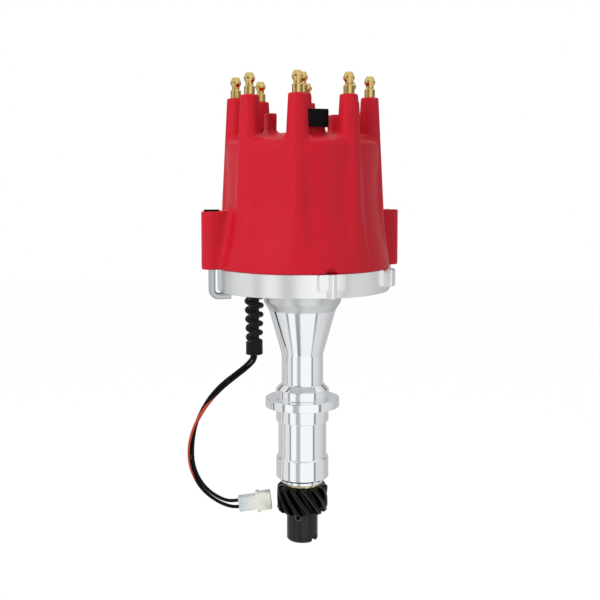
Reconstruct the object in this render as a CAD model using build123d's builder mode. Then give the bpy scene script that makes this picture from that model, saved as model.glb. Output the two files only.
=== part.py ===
from build123d import *
import math
import os

# Ignition distributor of a V8 engine: a turned aluminium housing carries a vertical shaft, a helical
# gear drives the shaft from below, and a rotor under a moulded cap hands the spark to eight towers.
# Millimetres, +Z up. The origin is the centre of the collar's underside, which seats on the engine.
# Azimuths are degrees, counter-clockwise from +X seen from above.

# Shaft and fits
shaft_r = 6.35
running_gap = 0.05
press_gap = 0.02
end_float = 0.15

# Housing, from the nose up
nose_r = 13.0
nose_length = 2.6
land_r = 16.3
land_length = 13.75
land_chamfer = 1.2
shank_r = 14.95
shank_length = 22.5
pilot_r = 16.35
pilot_length = 9.25
collar_r = 23.0
collar_height = 5.4
boss_r = 16.55
boss_height = 5.35
neck_r = 12.9
neck_length = 18.2
cone_top_r = 20.9
cone_height = 24.4
flare_height = 5.6
throat_r = 24.0
throat_height = 10.3
bowl_r = 52.4
bowl_height = 14.1
bowl_wall = 4.0
bowl_floor = 4.1
edge_break = 0.6

# Bowl details
key_azimuth = 288.4
key_width = 5.6
key_proud = 3.4
key_notch_gap = 0.4
pad_width = 16.8
pad_height = 9.5
pad_proud = 1.9
ear_azimuth = 343.0
ear_width = 10.0
ear_reach = 5.1
ear_height = 10.5
ear_hole_r = 2.1

# Bushes and washers
bush_wall = 1.65
lower_bush_length = 28.0
upper_bush_length = 24.0
oil_gap = 0.9
bronze_washer_r = 11.25
bronze_washer_height = 1.9
upper_washer_r = 10.5
upper_washer_height = 1.5

# Drive gear
gear_teeth = 13
gear_r = 15.85
gear_face = 16.2
tooth_depth = 3.8
tooth_crest = 2.3
tooth_root = 4.4
gear_chamfer = 1.2
helix_angle = 38.0
hub_r = 9.7
hub_length = 18.8
drive_slot_width = 5.2
drive_slot_depth = 4.4
drive_slot_azimuth = 324.0
roll_pin_r = 2.38
roll_pin_wall = 0.9
roll_pin_split = 0.8
roll_pin_drop = 2.8
roll_pin_azimuth = 253.0

# Advance mechanism
sleeve_r = 9.0
sleeve_length = 13.2
sleeve_spigot_r = 8.0
reluctor_points = 8
reluctor_r = 22.0
reluctor_root_r = 16.0
reluctor_height = 5.0
reluctor_lift = 3.4
reluctor_tooth_angle = 80.0
weight_plate_r = 33.0
weight_plate_height = 2.5
weight_inner_r = 13.0
weight_outer_r = 27.0
weight_height = 5.0
weight_arc = 122.0
weight_lift = 0.3
weight_pin_r = 2.0
weight_pin_circle_r = 21.0
weight_pin_azimuth = 28.0
weight_pin_stand = 9.6
clip_r = 3.8
clip_height = 0.8
clip_mouth = 3.0
cam_journal_r = 5.0
cam_long_r = 11.6
cam_short_r = 8.2
cam_height = 5.7
cam_azimuth = 315.0
cam_post_r = 1.2
cam_post_circle_r = 9.4
cam_post_height = 3.6
spring_wire_r = 0.35
spring_coil_r = 1.5
spring_turns = 8
spring_eye_gap = 0.15
spring_eye_extra = 0.07
spring_lift = 2.6

# Pickup
pickup_azimuth = 100.0
pickup_plate_height = 2.0
pickup_air_gap = 0.5
pickup_wall_gap = 9.65
pickup_pole_nose = 3.25
pickup_coil_width = 16.0
pickup_coil_height = 11.0
pickup_pole_width = 4.0
pickup_pole_height = 4.0
pickup_screw_r = 1.5
pickup_corner_share = 0.17

# Slotted screw heads, as shares of the screw radius
head_r_share = 1.8
head_height_share = 1.3
head_slot_share = 0.5
head_slot_depth_share = 0.6

# Rotor
standoff_r = 3.2
standoff_circle_r = 29.0
standoff_height = 11.5
standoff_azimuth = 348.0
rotor_r = 33.0
rotor_base_height = 5.0
rotor_mast_r = 12.0
rotor_arm_width = 13.0
rotor_arm_height = 9.0
rotor_azimuth = 265.9
blade_width = 8.0
blade_height = 2.0
blade_step = 3.0
blade_hub_share = 0.75
blade_air_gap = 0.9
rotor_screw_r = 1.6

# Cap
rim_overhang = 1.3
key_notch_height = 2.4
spigot_depth = 2.5
spigot_gap = 0.2
spigot_wall = 1.8
shoulder_inset = 4.9
shoulder_height = 35.6
roof_inset = 7.5
roof_height = 76.5
crown_height = 82.4
roof_round = 4.0
cap_wall = 3.0
cavity_height = 71.0
tower_count = 8
tower_azimuth = 265.9
tower_inset = 5.3
tower_top_r = 5.4
tower_height = 103.0
tower_draft = 3.0
tower_root_height = 8.0
centre_tower_height = 106.3
electrode_r = 3.0
electrode_taper = 0.5
electrode_bottom_height = 37.0
electrode_top_height = 49.0
insert_r = 2.5
insert_boss_r = 5.0
stud_r = 3.15
stud_bulb_r = 3.05
stud_waist_r = 2.35
stud_tip_r = 1.7
stud_collar_height = 4.8
stud_height = 12.7
brush_r = 2.5
brush_length = 17.0
brush_guide_r = 6.0
brush_guide_height = 54.0
brush_spring_wire_r = 0.3
brush_spring_turns = 5
post_width = 11.7
post_depth = 5.5
post_inset = 17.15
post_height = 93.3
post_azimuths = (18.4, 198.4, 288.4)
clip_post_azimuth = 288.4
roof_clip_width = 17.0
roof_clip_depth = 9.0
roof_clip_height = 10.6
roof_clip_overlap = 8.9
roof_clip_gap = 0.1

# Cap latches
latch_azimuths = (18.4, 198.4)
latch_standoff = 4.8
latch_rod_r = 2.1
latch_rod_gap = 0.25
latch_bend_r = 4.0
latch_foot_length = 11.5
latch_seat_gap = 0.1
latch_head_r = 4.3
latch_head_height = 2.6
latch_head_sink = 0.5
latch_slot_width = 1.2
latch_slot_depth = 1.1
latch_spring_wire_r = 0.5
latch_spring_turns = 4
lug_r = 6.25
lug_height = 35.1
lug_pocket_r = 4.9
lug_pocket_depth = 10.0

# Pickup lead: grommet with a spiral strain relief, two wires and a two-pin connector
boot_azimuth = 192.0
boot_top_r = 6.2
boot_end_r = 5.2
boot_collar_height = 3.4
boot_length = 39.5
boot_end_length = 8.0
boot_turns = 5.2
boot_strand_r = 1.25
boot_strand_inset = 0.125
boot_bore_r = 2.5
boot_flange_r = 7.4
boot_flange_height = 1.6
boot_neck_r = 4.6
wire_r = 1.1
wire_pitch = 2.5
bend_share = 0.45
lead_reach = 7.0
lead_bow = 3.8
lead_lifts = (5.6, 8.4)
lead_azimuths = (171.5, 150.0, 136.0)
connector_tilt = 7.6
connector_rear = (-39.4, -60.6)
connector_length = 20.0
connector_rear_length = 11.0
connector_rear_height = 9.0
connector_front_height = 11.2
connector_depth = 6.6
connector_round = 0.8
connector_tab_width = 2.0
connector_tab_depth = 4.0
connector_tab_proud = 0.9
contact_pitch = 4.1
contact_cavity_width = 3.4
contact_cavity_depth = 9.0
contact_r = 0.9
contact_setback = 3.3
contact_length = 15.0

# Levels that follow from the sizes above
pilot_bottom = -pilot_length
shank_bottom = pilot_bottom - shank_length
land_bottom = shank_bottom - land_length
nose_bottom = land_bottom - nose_length
boss_top = collar_height + boss_height
neck_bottom = boss_top + boss_r - neck_r
neck_top = neck_bottom + neck_length
cone_top = neck_top + cone_height
flare_top = cone_top + flare_height
bowl_bottom = flare_top + throat_height
bowl_top = bowl_bottom + bowl_height
floor_top = bowl_bottom + bowl_floor
gear_top = nose_bottom - bronze_washer_height - end_float
gear_bottom = gear_top - gear_face
hub_bottom = gear_bottom - hub_length
shaft_bottom = hub_bottom + drive_slot_depth
roll_pin_z = gear_bottom - roll_pin_drop
sleeve_bottom = floor_top + upper_washer_height + end_float
sleeve_top = sleeve_bottom + sleeve_length
reluctor_bottom = sleeve_bottom + reluctor_lift
plate_top = sleeve_top + weight_plate_height
weight_bottom = plate_top + weight_lift
weight_top = weight_bottom + weight_height
cam_bottom = plate_top + end_float
cam_top = cam_bottom + cam_height
spring_z = cam_top + spring_lift
rotor_bottom = plate_top + standoff_height
electrode_bottom = bowl_top + electrode_bottom_height
electrode_top = bowl_top + electrode_top_height
blade_bottom = electrode_bottom + blade_step
blade_top = blade_bottom + blade_height
tower_top = bowl_top + tower_height
centre_tower_top = bowl_top + centre_tower_height
cavity_top = bowl_top + cavity_height
boot_bottom = bowl_bottom - boot_length

# Radii that follow
bowl_inner_r = bowl_r - bowl_wall
bush_bore_r = shaft_r + running_gap
bush_r = bush_bore_r + bush_wall
rim_r = bowl_r + rim_overhang
shoulder_r = rim_r - shoulder_inset
roof_r = rim_r - roof_inset
tower_circle_r = roof_r - tower_inset
post_circle_r = tower_circle_r - post_inset
tower_root_r = tower_top_r + (tower_height - tower_root_height) * math.tan(math.radians(tower_draft))
latch_circle_r = bowl_r + latch_standoff
boot_circle_r = throat_r + boot_top_r
blade_tip_r = tower_circle_r - electrode_r - blade_air_gap

os.makedirs("parts", exist_ok=True)


def polar(radius, azimuth):
    """Point in plan at this radius and azimuth."""
    angle = math.radians(azimuth)
    return radius * math.cos(angle), radius * math.sin(angle)


def upright(radius, azimuth, level):
    """Horizontal work plane whose X axis points outwards along an azimuth."""
    x, y = polar(radius, azimuth)
    return Plane(origin=(x, y, level), x_dir=(*polar(1, azimuth), 0), z_dir=(0, 0, 1))


def tube(outer_r, inner_r, bottom, top):
    """Plain ring or sleeve round the main axis."""
    with BuildPart() as ring:
        with BuildSketch(Plane.XY.offset(bottom)):
            Circle(outer_r)
            Circle(inner_r, mode=Mode.SUBTRACT)
        extrude(amount=top - bottom)
    return ring.part


def save(piece, name):
    """Label a finished piece and write it to its own file."""
    piece.label = name
    export_step(piece, f"parts/{name}.step")


# Housing: one turning from nose to bowl, with the key, pad and ear milled on the bowl
with BuildPart() as housing:
    with BuildSketch(Plane.XZ):
        with BuildLine():
            Polyline(
                (0, nose_bottom), (nose_r, nose_bottom), (nose_r, land_bottom),
                (land_r - land_chamfer, land_bottom), (land_r, land_bottom + land_chamfer),
                (land_r, shank_bottom), (shank_r, shank_bottom), (shank_r, pilot_bottom),
                (pilot_r, pilot_bottom), (pilot_r, 0), (collar_r, 0), (collar_r, collar_height),
                (boss_r, collar_height), (boss_r, boss_top), (neck_r, neck_bottom),
                (neck_r, neck_top), (cone_top_r, cone_top), (throat_r, flare_top),
                (throat_r, bowl_bottom), (bowl_r, bowl_bottom), (bowl_r, bowl_top),
                (bowl_inner_r, bowl_top), (bowl_inner_r, floor_top), (0, floor_top), close=True,
            )
        make_face()
    revolve(axis=Axis.Z)
    turned_edges = housing.edges().filter_by(GeomType.CIRCLE)
    broken_levels = ((collar_r, 0), (collar_r, collar_height), (bowl_r, bowl_bottom))
    fillet(
        [
            edge for edge in turned_edges
            if any(
                abs(edge.radius - r) < edge_break / 10 and abs(edge.center().Z - z) < edge_break / 10
                for r, z in broken_levels
            )
        ],
        radius=edge_break,
    )
    key_plane = upright(0, key_azimuth, bowl_bottom)
    with BuildSketch(key_plane):
        with Locations((bowl_r + key_proud - key_width / 2, 0)):
            Circle(key_width / 2)
        with Locations((bowl_r - bowl_wall / 2, 0)):
            Rectangle(
                bowl_wall / 2 + key_proud - key_width / 2, key_width, align=(Align.MIN, Align.CENTER)
            )
    extrude(amount=bowl_height)
    with BuildSketch(upright(0, key_azimuth, bowl_top - pad_height)):
        with Locations((bowl_inner_r + bowl_wall / 4, 0)):
            Rectangle(
                bowl_wall * 3 / 4 + pad_proud, pad_width, align=(Align.MIN, Align.CENTER)
            )
    extrude(amount=pad_height)
    with BuildSketch(upright(0, ear_azimuth, bowl_top - ear_height)):
        with Locations((bowl_inner_r + bowl_wall / 4, 0)):
            Rectangle(
                bowl_wall * 3 / 4 + ear_reach - ear_width / 2, ear_width, align=(Align.MIN, Align.CENTER)
            )
        with Locations((bowl_r + ear_reach - ear_width / 2, 0)):
            Circle(ear_width / 2)
        Circle(bowl_inner_r + bowl_wall / 4, mode=Mode.SUBTRACT)
    extrude(amount=ear_height)
    with BuildSketch(upright(0, ear_azimuth, bowl_top)):
        with Locations((bowl_r + ear_reach - ear_width / 2, 0)):
            Circle(ear_hole_r)
    extrude(amount=-ear_height, mode=Mode.SUBTRACT)
    with BuildSketch(Plane.XY.offset(floor_top)):
        Circle(shaft_r + oil_gap)
    extrude(amount=nose_bottom - floor_top, mode=Mode.SUBTRACT)
    with BuildSketch(Plane.XY.offset(floor_top)):
        Circle(bush_r + press_gap)
    extrude(amount=-upper_bush_length, mode=Mode.SUBTRACT)
    with BuildSketch(Plane.XY.offset(nose_bottom)):
        Circle(bush_r + press_gap)
    extrude(amount=lower_bush_length, mode=Mode.SUBTRACT)
    with BuildSketch(upright(boot_circle_r, boot_azimuth, floor_top)):
        Circle(boot_neck_r + press_gap)
    extrude(amount=-bowl_floor, mode=Mode.SUBTRACT)
save(housing.part, "housing")

# Bronze bushes pressed into both ends of the bore, and a thrust washer at each end of the housing
lower_bush = tube(bush_r, bush_bore_r, nose_bottom, nose_bottom + lower_bush_length)
save(lower_bush, "lower_bush")
upper_bush = tube(bush_r, bush_bore_r, floor_top - upper_bush_length, floor_top)
save(upper_bush, "upper_bush")
bronze_washer = tube(bronze_washer_r, bush_bore_r, nose_bottom - bronze_washer_height, nose_bottom)
save(bronze_washer, "bronze_thrust_washer")
upper_washer = tube(upper_washer_r, bush_bore_r, floor_top, floor_top + upper_washer_height)
save(upper_washer, "upper_thrust_washer")

# Main shaft: plain journal, a smaller seat for the cam on top and a cross hole for the roll pin
with BuildPart() as shaft:
    with BuildSketch(Plane.XY.offset(shaft_bottom)):
        Circle(shaft_r)
    extrude(amount=plate_top - shaft_bottom)
    with BuildSketch(Plane.XY.offset(plate_top)):
        Circle(cam_journal_r)
    extrude(amount=cam_top - plate_top)
    pin_plane = Plane(
        origin=(0, 0, roll_pin_z), x_dir=(0, 0, 1), z_dir=(*polar(1, roll_pin_azimuth), 0)
    )
    with BuildSketch(pin_plane):
        Circle(roll_pin_r + press_gap)
    extrude(amount=shaft_r * 2, both=True, mode=Mode.SUBTRACT)
save(shaft.part, "shaft")

# Helical gear: one toothed section swept up the axis and turned by a guide helix
gear_twist = math.degrees(gear_face * math.tan(math.radians(helix_angle)) / (gear_r - tooth_depth / 2))
gear_lead = gear_face * 360 / gear_twist
with BuildPart() as drive_gear:
    with BuildSketch(Plane.XY.offset(gear_bottom)):
        Circle(gear_r - tooth_depth)
        with PolarLocations(0, gear_teeth):
            Polygon(
                (0, -tooth_root / 2), (gear_r - tooth_depth, -tooth_root / 2),
                (gear_r, -tooth_crest / 2), (gear_r, tooth_crest / 2),
                (gear_r - tooth_depth, tooth_root / 2), (0, tooth_root / 2), align=None,
            )
    with BuildLine(mode=Mode.PRIVATE):
        gear_axis = Line((0, 0, gear_bottom), (0, 0, gear_top))
        gear_guide = Helix(
            gear_lead, gear_face, gear_r, center=(0, 0, gear_bottom), lefthand=True
        )
    sweep(path=gear_axis, binormal=gear_guide.edge())
    with BuildSketch(Plane.XZ):
        with BuildLine():
            Polyline(
                (0, gear_bottom), (gear_r - gear_chamfer, gear_bottom),
                (gear_r + press_gap, gear_bottom + gear_chamfer),
                (gear_r + press_gap, gear_top - gear_chamfer), (gear_r - gear_chamfer, gear_top),
                (0, gear_top), close=True,
            )
        make_face()
    revolve(axis=Axis.Z, mode=Mode.INTERSECT)
    with BuildSketch(Plane.XY.offset(gear_bottom)):
        Circle(hub_r)
    extrude(amount=-hub_length)
    chamfer(drive_gear.faces().sort_by(Axis.Z)[0].edges(), length=edge_break)
    with BuildSketch(Plane.XY.offset(gear_top)):
        Circle(shaft_r + press_gap)
    extrude(amount=hub_bottom - gear_top, mode=Mode.SUBTRACT)
    with BuildSketch(pin_plane):
        Circle(roll_pin_r + press_gap)
    extrude(amount=hub_r * 2, both=True, mode=Mode.SUBTRACT)
    with BuildSketch(upright(0, drive_slot_azimuth, hub_bottom)):
        Rectangle(hub_r * 3, drive_slot_width)
    extrude(amount=drive_slot_depth, mode=Mode.SUBTRACT)
save(drive_gear.part, "drive_gear")

# Spring pin through hub and shaft: a split tube
with BuildPart() as roll_pin:
    with BuildSketch(pin_plane):
        Circle(roll_pin_r)
        Circle(roll_pin_r - roll_pin_wall, mode=Mode.SUBTRACT)
        with Locations((roll_pin_r, 0)):
            Rectangle(roll_pin_wall * 4, roll_pin_split, mode=Mode.SUBTRACT)
    extrude(amount=hub_r - edge_break, both=True)
save(roll_pin.part, "gear_roll_pin")

# Carrier on the shaft top: sleeve, eight-point reluctor and the plate that holds the weights
with BuildPart() as carrier_sleeve:
    with BuildSketch(Plane.XY.offset(sleeve_bottom)):
        Circle(sleeve_r)
        Circle(bush_bore_r, mode=Mode.SUBTRACT)
    extrude(amount=sleeve_length)
    with BuildSketch(Plane.XY.offset(sleeve_top)):
        Circle(sleeve_spigot_r)
        Circle(bush_bore_r, mode=Mode.SUBTRACT)
    extrude(amount=weight_plate_height)
save(carrier_sleeve.part, "carrier_sleeve")

with BuildPart() as reluctor:
    with BuildSketch(Plane.XY.offset(reluctor_bottom)):
        Circle(reluctor_root_r)
        with PolarLocations(0, reluctor_points, start_angle=pickup_azimuth):
            with Locations((reluctor_r / 2, 0)):
                Trapezoid(
                    reluctor_root_r / 2, reluctor_r, left_side_angle=reluctor_tooth_angle, rotation=-90
                )
        Circle(sleeve_r + press_gap, mode=Mode.SUBTRACT)
    extrude(amount=reluctor_height)
save(reluctor.part, "reluctor")

standoff_azimuths = (standoff_azimuth, standoff_azimuth + 180)
pin_azimuths = (weight_pin_azimuth, weight_pin_azimuth + 180)
with BuildPart() as weight_plate:
    with BuildSketch(Plane.XY.offset(sleeve_top)):
        Circle(weight_plate_r)
        Circle(sleeve_spigot_r + press_gap, mode=Mode.SUBTRACT)
        with Locations(*[polar(weight_pin_circle_r, azimuth) for azimuth in pin_azimuths]):
            Circle(weight_pin_r + press_gap, mode=Mode.SUBTRACT)
        with Locations(*[polar(standoff_circle_r, azimuth) for azimuth in standoff_azimuths]):
            Circle(rotor_screw_r, mode=Mode.SUBTRACT)
    extrude(amount=weight_plate_height)
save(weight_plate.part, "weight_plate")

with BuildPart() as weight_pins:
    with BuildSketch(Plane.XY.offset(sleeve_top)):
        with Locations(*[polar(weight_pin_circle_r, azimuth) for azimuth in pin_azimuths]):
            Circle(weight_pin_r)
    extrude(amount=weight_plate_height + weight_pin_stand)
save(weight_pins.part, "weight_pins")


def make_weight(azimuth):
    """Crescent weight that hangs on a pin and swings outwards round it."""
    pin_plane_top = upright(0, azimuth, weight_bottom)
    band_r = (weight_inner_r + weight_outer_r) / 2
    band_width = weight_outer_r - weight_inner_r
    with BuildPart() as weight:
        with BuildSketch(pin_plane_top):
            with BuildLine():
                CenterArc((0, 0), band_r, 0, weight_arc)
            trace(line_width=band_width)
            with Locations((weight_pin_circle_r, 0)):
                Circle(band_width / 2)
            with Locations((weight_pin_circle_r, 0)):
                Circle(weight_pin_r + running_gap, mode=Mode.SUBTRACT)
            Circle(weight_inner_r, mode=Mode.SUBTRACT)
        extrude(amount=weight_height)
    return weight.part


weight_a = make_weight(pin_azimuths[0])
save(weight_a, "weight_a")
weight_b = make_weight(pin_azimuths[1])
save(weight_b, "weight_b")

with BuildPart() as weight_clips:
    with BuildSketch(Plane.XY.offset(weight_top + end_float)):
        with Locations(*[polar(weight_pin_circle_r, azimuth) for azimuth in pin_azimuths]):
            Circle(clip_r)
            Circle(weight_pin_r + press_gap, mode=Mode.SUBTRACT)
            with Locations((clip_r, 0)):
                Rectangle(2 * clip_mouth, weight_pin_r, mode=Mode.SUBTRACT)
    extrude(amount=clip_height)
save(weight_clips.part, "weight_clips")

# Two-lobed cam on the shaft, with a post at each end for an advance spring
with BuildPart() as advance_cam:
    with BuildSketch(upright(0, cam_azimuth, cam_bottom)):
        Ellipse(cam_long_r, cam_short_r)
        Circle(cam_journal_r + press_gap, mode=Mode.SUBTRACT)
    extrude(amount=cam_height)
    with BuildSketch(upright(0, cam_azimuth, cam_top)):
        with PolarLocations(cam_post_circle_r, 2):
            Circle(cam_post_r)
    extrude(amount=cam_post_height)
save(advance_cam.part, "advance_cam")


def make_advance_spring(pin_azimuth, post_azimuth):
    """Tension spring from a weight pin to a cam post: eye, close coil, eye."""
    pin_x, pin_y = polar(weight_pin_circle_r, pin_azimuth)
    post_x, post_y = polar(cam_post_circle_r, post_azimuth)
    pin_point = Vector(pin_x, pin_y, spring_z)
    post_point = Vector(post_x, post_y, spring_z)
    span = (post_point - pin_point).length
    eye_wire_r = spring_wire_r + spring_eye_extra
    coil_start = weight_pin_r + spring_eye_gap + 2 * spring_wire_r
    post_clear = cam_post_r + spring_eye_gap + 2 * spring_wire_r
    eye_r = math.hypot(coil_start, spring_coil_r)
    post_eye_r = math.hypot(post_clear, spring_coil_r)
    coil_length = span - post_clear - coil_start
    along = (post_point - pin_point).normalized()
    spring_plane = Plane(origin=pin_point, x_dir=along, z_dir=(0, 0, 1))
    with BuildPart(spring_plane) as spring:
        with Locations((0, 0, 0)):
            Torus(eye_r, eye_wire_r)
        with Locations((span, 0, 0)):
            Torus(post_eye_r, eye_wire_r)
    coil_plane = Plane(
        origin=spring_plane.from_local_coords(Vector(coil_start, 0, 0)),
        x_dir=spring_plane.y_dir, z_dir=along,
    )
    with BuildPart() as coil:
        with BuildLine():
            Helix(coil_length / spring_turns, coil_length, spring_coil_r)
        with BuildSketch(Plane(origin=(spring_coil_r, 0, 0), z_dir=(0, 1, 0))):
            Circle(spring_wire_r)
        sweep(is_frenet=True)
    placed_coil = coil.part.moved(Location(coil_plane))
    return Part() + [spring.part, placed_coil]


cam_post_azimuths = (cam_azimuth, cam_azimuth + 180)
advance_spring_a = make_advance_spring(pin_azimuths[0], cam_post_azimuths[0])
save(advance_spring_a, "advance_spring_a")
advance_spring_b = make_advance_spring(pin_azimuths[1], cam_post_azimuths[1])
save(advance_spring_b, "advance_spring_b")

# Pickup: a base plate screwed to the bowl floor, the coil on it and the pole that faces the reluctor
pole_start_r = reluctor_r + pickup_air_gap
pole_bottom = reluctor_bottom + (reluctor_height - pickup_pole_height) / 2
coil_start_r = pole_start_r + pickup_pole_nose
coil_end_r = bowl_inner_r - pickup_wall_gap
pickup_coil_length = coil_end_r - coil_start_r
pickup_corner_r = pickup_corner_share * pickup_coil_length
pickup_plate_top = floor_top + pickup_plate_height
pickup_head_top = pickup_plate_top + pickup_screw_r * head_height_share
pickup_screw_offset = pickup_coil_width / 2 + 3 * pickup_screw_r
pickup_plate_width = 2 * pickup_screw_offset + 5 * pickup_screw_r
coil_mid_r = (coil_start_r + coil_end_r) / 2
with BuildPart() as pickup_plate:
    with BuildSketch(upright(coil_mid_r, pickup_azimuth, floor_top)):
        RectangleRounded(pickup_coil_length, pickup_plate_width, pickup_corner_r)
        with GridLocations(0, 2 * pickup_screw_offset, 1, 2):
            Circle(pickup_screw_r + running_gap, mode=Mode.SUBTRACT)
    extrude(amount=pickup_plate_height)
save(pickup_plate.part, "pickup_plate")

with BuildPart() as pickup_coil:
    with BuildSketch(upright(coil_mid_r, pickup_azimuth, pickup_plate_top)):
        RectangleRounded(pickup_coil_length, pickup_coil_width, pickup_corner_r)
    extrude(amount=pickup_coil_height)
    with BuildSketch(upright(coil_mid_r, pickup_azimuth, pole_bottom - press_gap)):
        Rectangle(pickup_coil_length * 2, pickup_pole_width + 2 * press_gap)
    extrude(amount=pickup_pole_height + 2 * press_gap, mode=Mode.SUBTRACT)
save(pickup_coil.part, "pickup_coil")

with BuildPart() as pickup_pole:
    with BuildSketch(upright(pole_start_r, pickup_azimuth, pole_bottom)):
        Rectangle(coil_end_r - pole_start_r, pickup_pole_width, align=(Align.MIN, Align.CENTER))
    extrude(amount=pickup_pole_height)
save(pickup_pole.part, "pickup_pole")

with BuildPart() as pickup_screws:
    with BuildSketch(upright(coil_mid_r, pickup_azimuth, floor_top)):
        with GridLocations(0, 2 * pickup_screw_offset, 1, 2):
            Circle(pickup_screw_r)
    extrude(amount=pickup_plate_height)
    with BuildSketch(upright(coil_mid_r, pickup_azimuth, pickup_plate_top)):
        with GridLocations(0, 2 * pickup_screw_offset, 1, 2):
            Circle(pickup_screw_r * head_r_share)
    extrude(amount=pickup_head_top - pickup_plate_top)
    with BuildSketch(upright(coil_mid_r, pickup_azimuth, pickup_head_top)):
        with GridLocations(0, 2 * pickup_screw_offset, 1, 2):
            Rectangle(pickup_screw_r * 2 * head_r_share, pickup_screw_r * head_slot_share)
    extrude(amount=-pickup_screw_r * head_slot_depth_share, mode=Mode.SUBTRACT)
save(pickup_screws.part, "pickup_screws")

# Rotor on two standoffs, with its brass blade and screws
rotor_base_top = rotor_bottom + rotor_base_height
arm_end_r = blade_tip_r - (rotor_arm_width + blade_width) / 2
with BuildPart() as standoffs:
    with BuildSketch(Plane.XY.offset(plate_top)):
        with Locations(*[polar(standoff_circle_r, azimuth) for azimuth in standoff_azimuths]):
            Circle(standoff_r)
            Circle(rotor_screw_r + running_gap, mode=Mode.SUBTRACT)
    extrude(amount=standoff_height)
save(standoffs.part, "rotor_standoffs")

with BuildPart() as rotor:
    with BuildSketch(Plane.XY.offset(rotor_bottom)):
        Circle(rotor_r)
    extrude(amount=rotor_base_height)
    fillet(rotor.edges().group_by(Axis.Z)[-1], radius=rotor_base_height / 4)
    with BuildSketch(Plane.XY.offset(rotor_bottom)):
        Circle(rotor_mast_r)
    extrude(amount=blade_bottom - rotor_bottom)
    with BuildSketch(upright(0, rotor_azimuth, blade_bottom)):
        SlotCenterPoint((blade_tip_r / 3, 0), (arm_end_r, 0), rotor_arm_width)
    extrude(amount=-rotor_arm_height)
    with BuildSketch(upright(0, rotor_azimuth, rotor_base_top - rotor_base_height / 2)):
        with Locations((rotor_mast_r / 2, 0)):
            Rectangle(blade_tip_r / 2, rotor_base_height, align=(Align.MIN, Align.CENTER))
    extrude(amount=blade_bottom - rotor_arm_height - rotor_base_top + rotor_base_height / 2)
    with BuildSketch(Plane.XY.offset(rotor_base_top)):
        with Locations(*[polar(standoff_circle_r, azimuth) for azimuth in standoff_azimuths]):
            Circle(rotor_screw_r + running_gap)
    extrude(amount=-rotor_base_height, mode=Mode.SUBTRACT)
save(rotor.part, "rotor")

with BuildPart() as rotor_blade:
    with BuildSketch(upright(0, rotor_azimuth, blade_bottom)):
        Circle(blade_width * blade_hub_share)
        Rectangle(blade_tip_r - press_gap, blade_width, align=(Align.MIN, Align.CENTER))
        Circle(blade_tip_r, mode=Mode.INTERSECT)
    extrude(amount=blade_height)
save(rotor_blade.part, "rotor_blade")

with BuildPart() as rotor_screws:
    with BuildSketch(Plane.XY.offset(sleeve_top)):
        with Locations(*[polar(standoff_circle_r, azimuth) for azimuth in standoff_azimuths]):
            Circle(rotor_screw_r - press_gap)
    extrude(amount=rotor_base_top - sleeve_top)
    with BuildSketch(Plane.XY.offset(rotor_base_top)):
        with Locations(*[polar(standoff_circle_r, azimuth) for azimuth in standoff_azimuths]):
            Circle(rotor_screw_r * head_r_share)
    extrude(amount=rotor_screw_r * head_height_share)
    with BuildSketch(Plane.XY.offset(rotor_base_top + rotor_screw_r * head_height_share)):
        with Locations(*[polar(standoff_circle_r, azimuth) for azimuth in standoff_azimuths]):
            Rectangle(rotor_screw_r * 2 * head_r_share, rotor_screw_r * head_slot_share)
    extrude(amount=-rotor_screw_r * head_slot_depth_share, mode=Mode.SUBTRACT)
save(rotor_screws.part, "rotor_screws")

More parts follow.
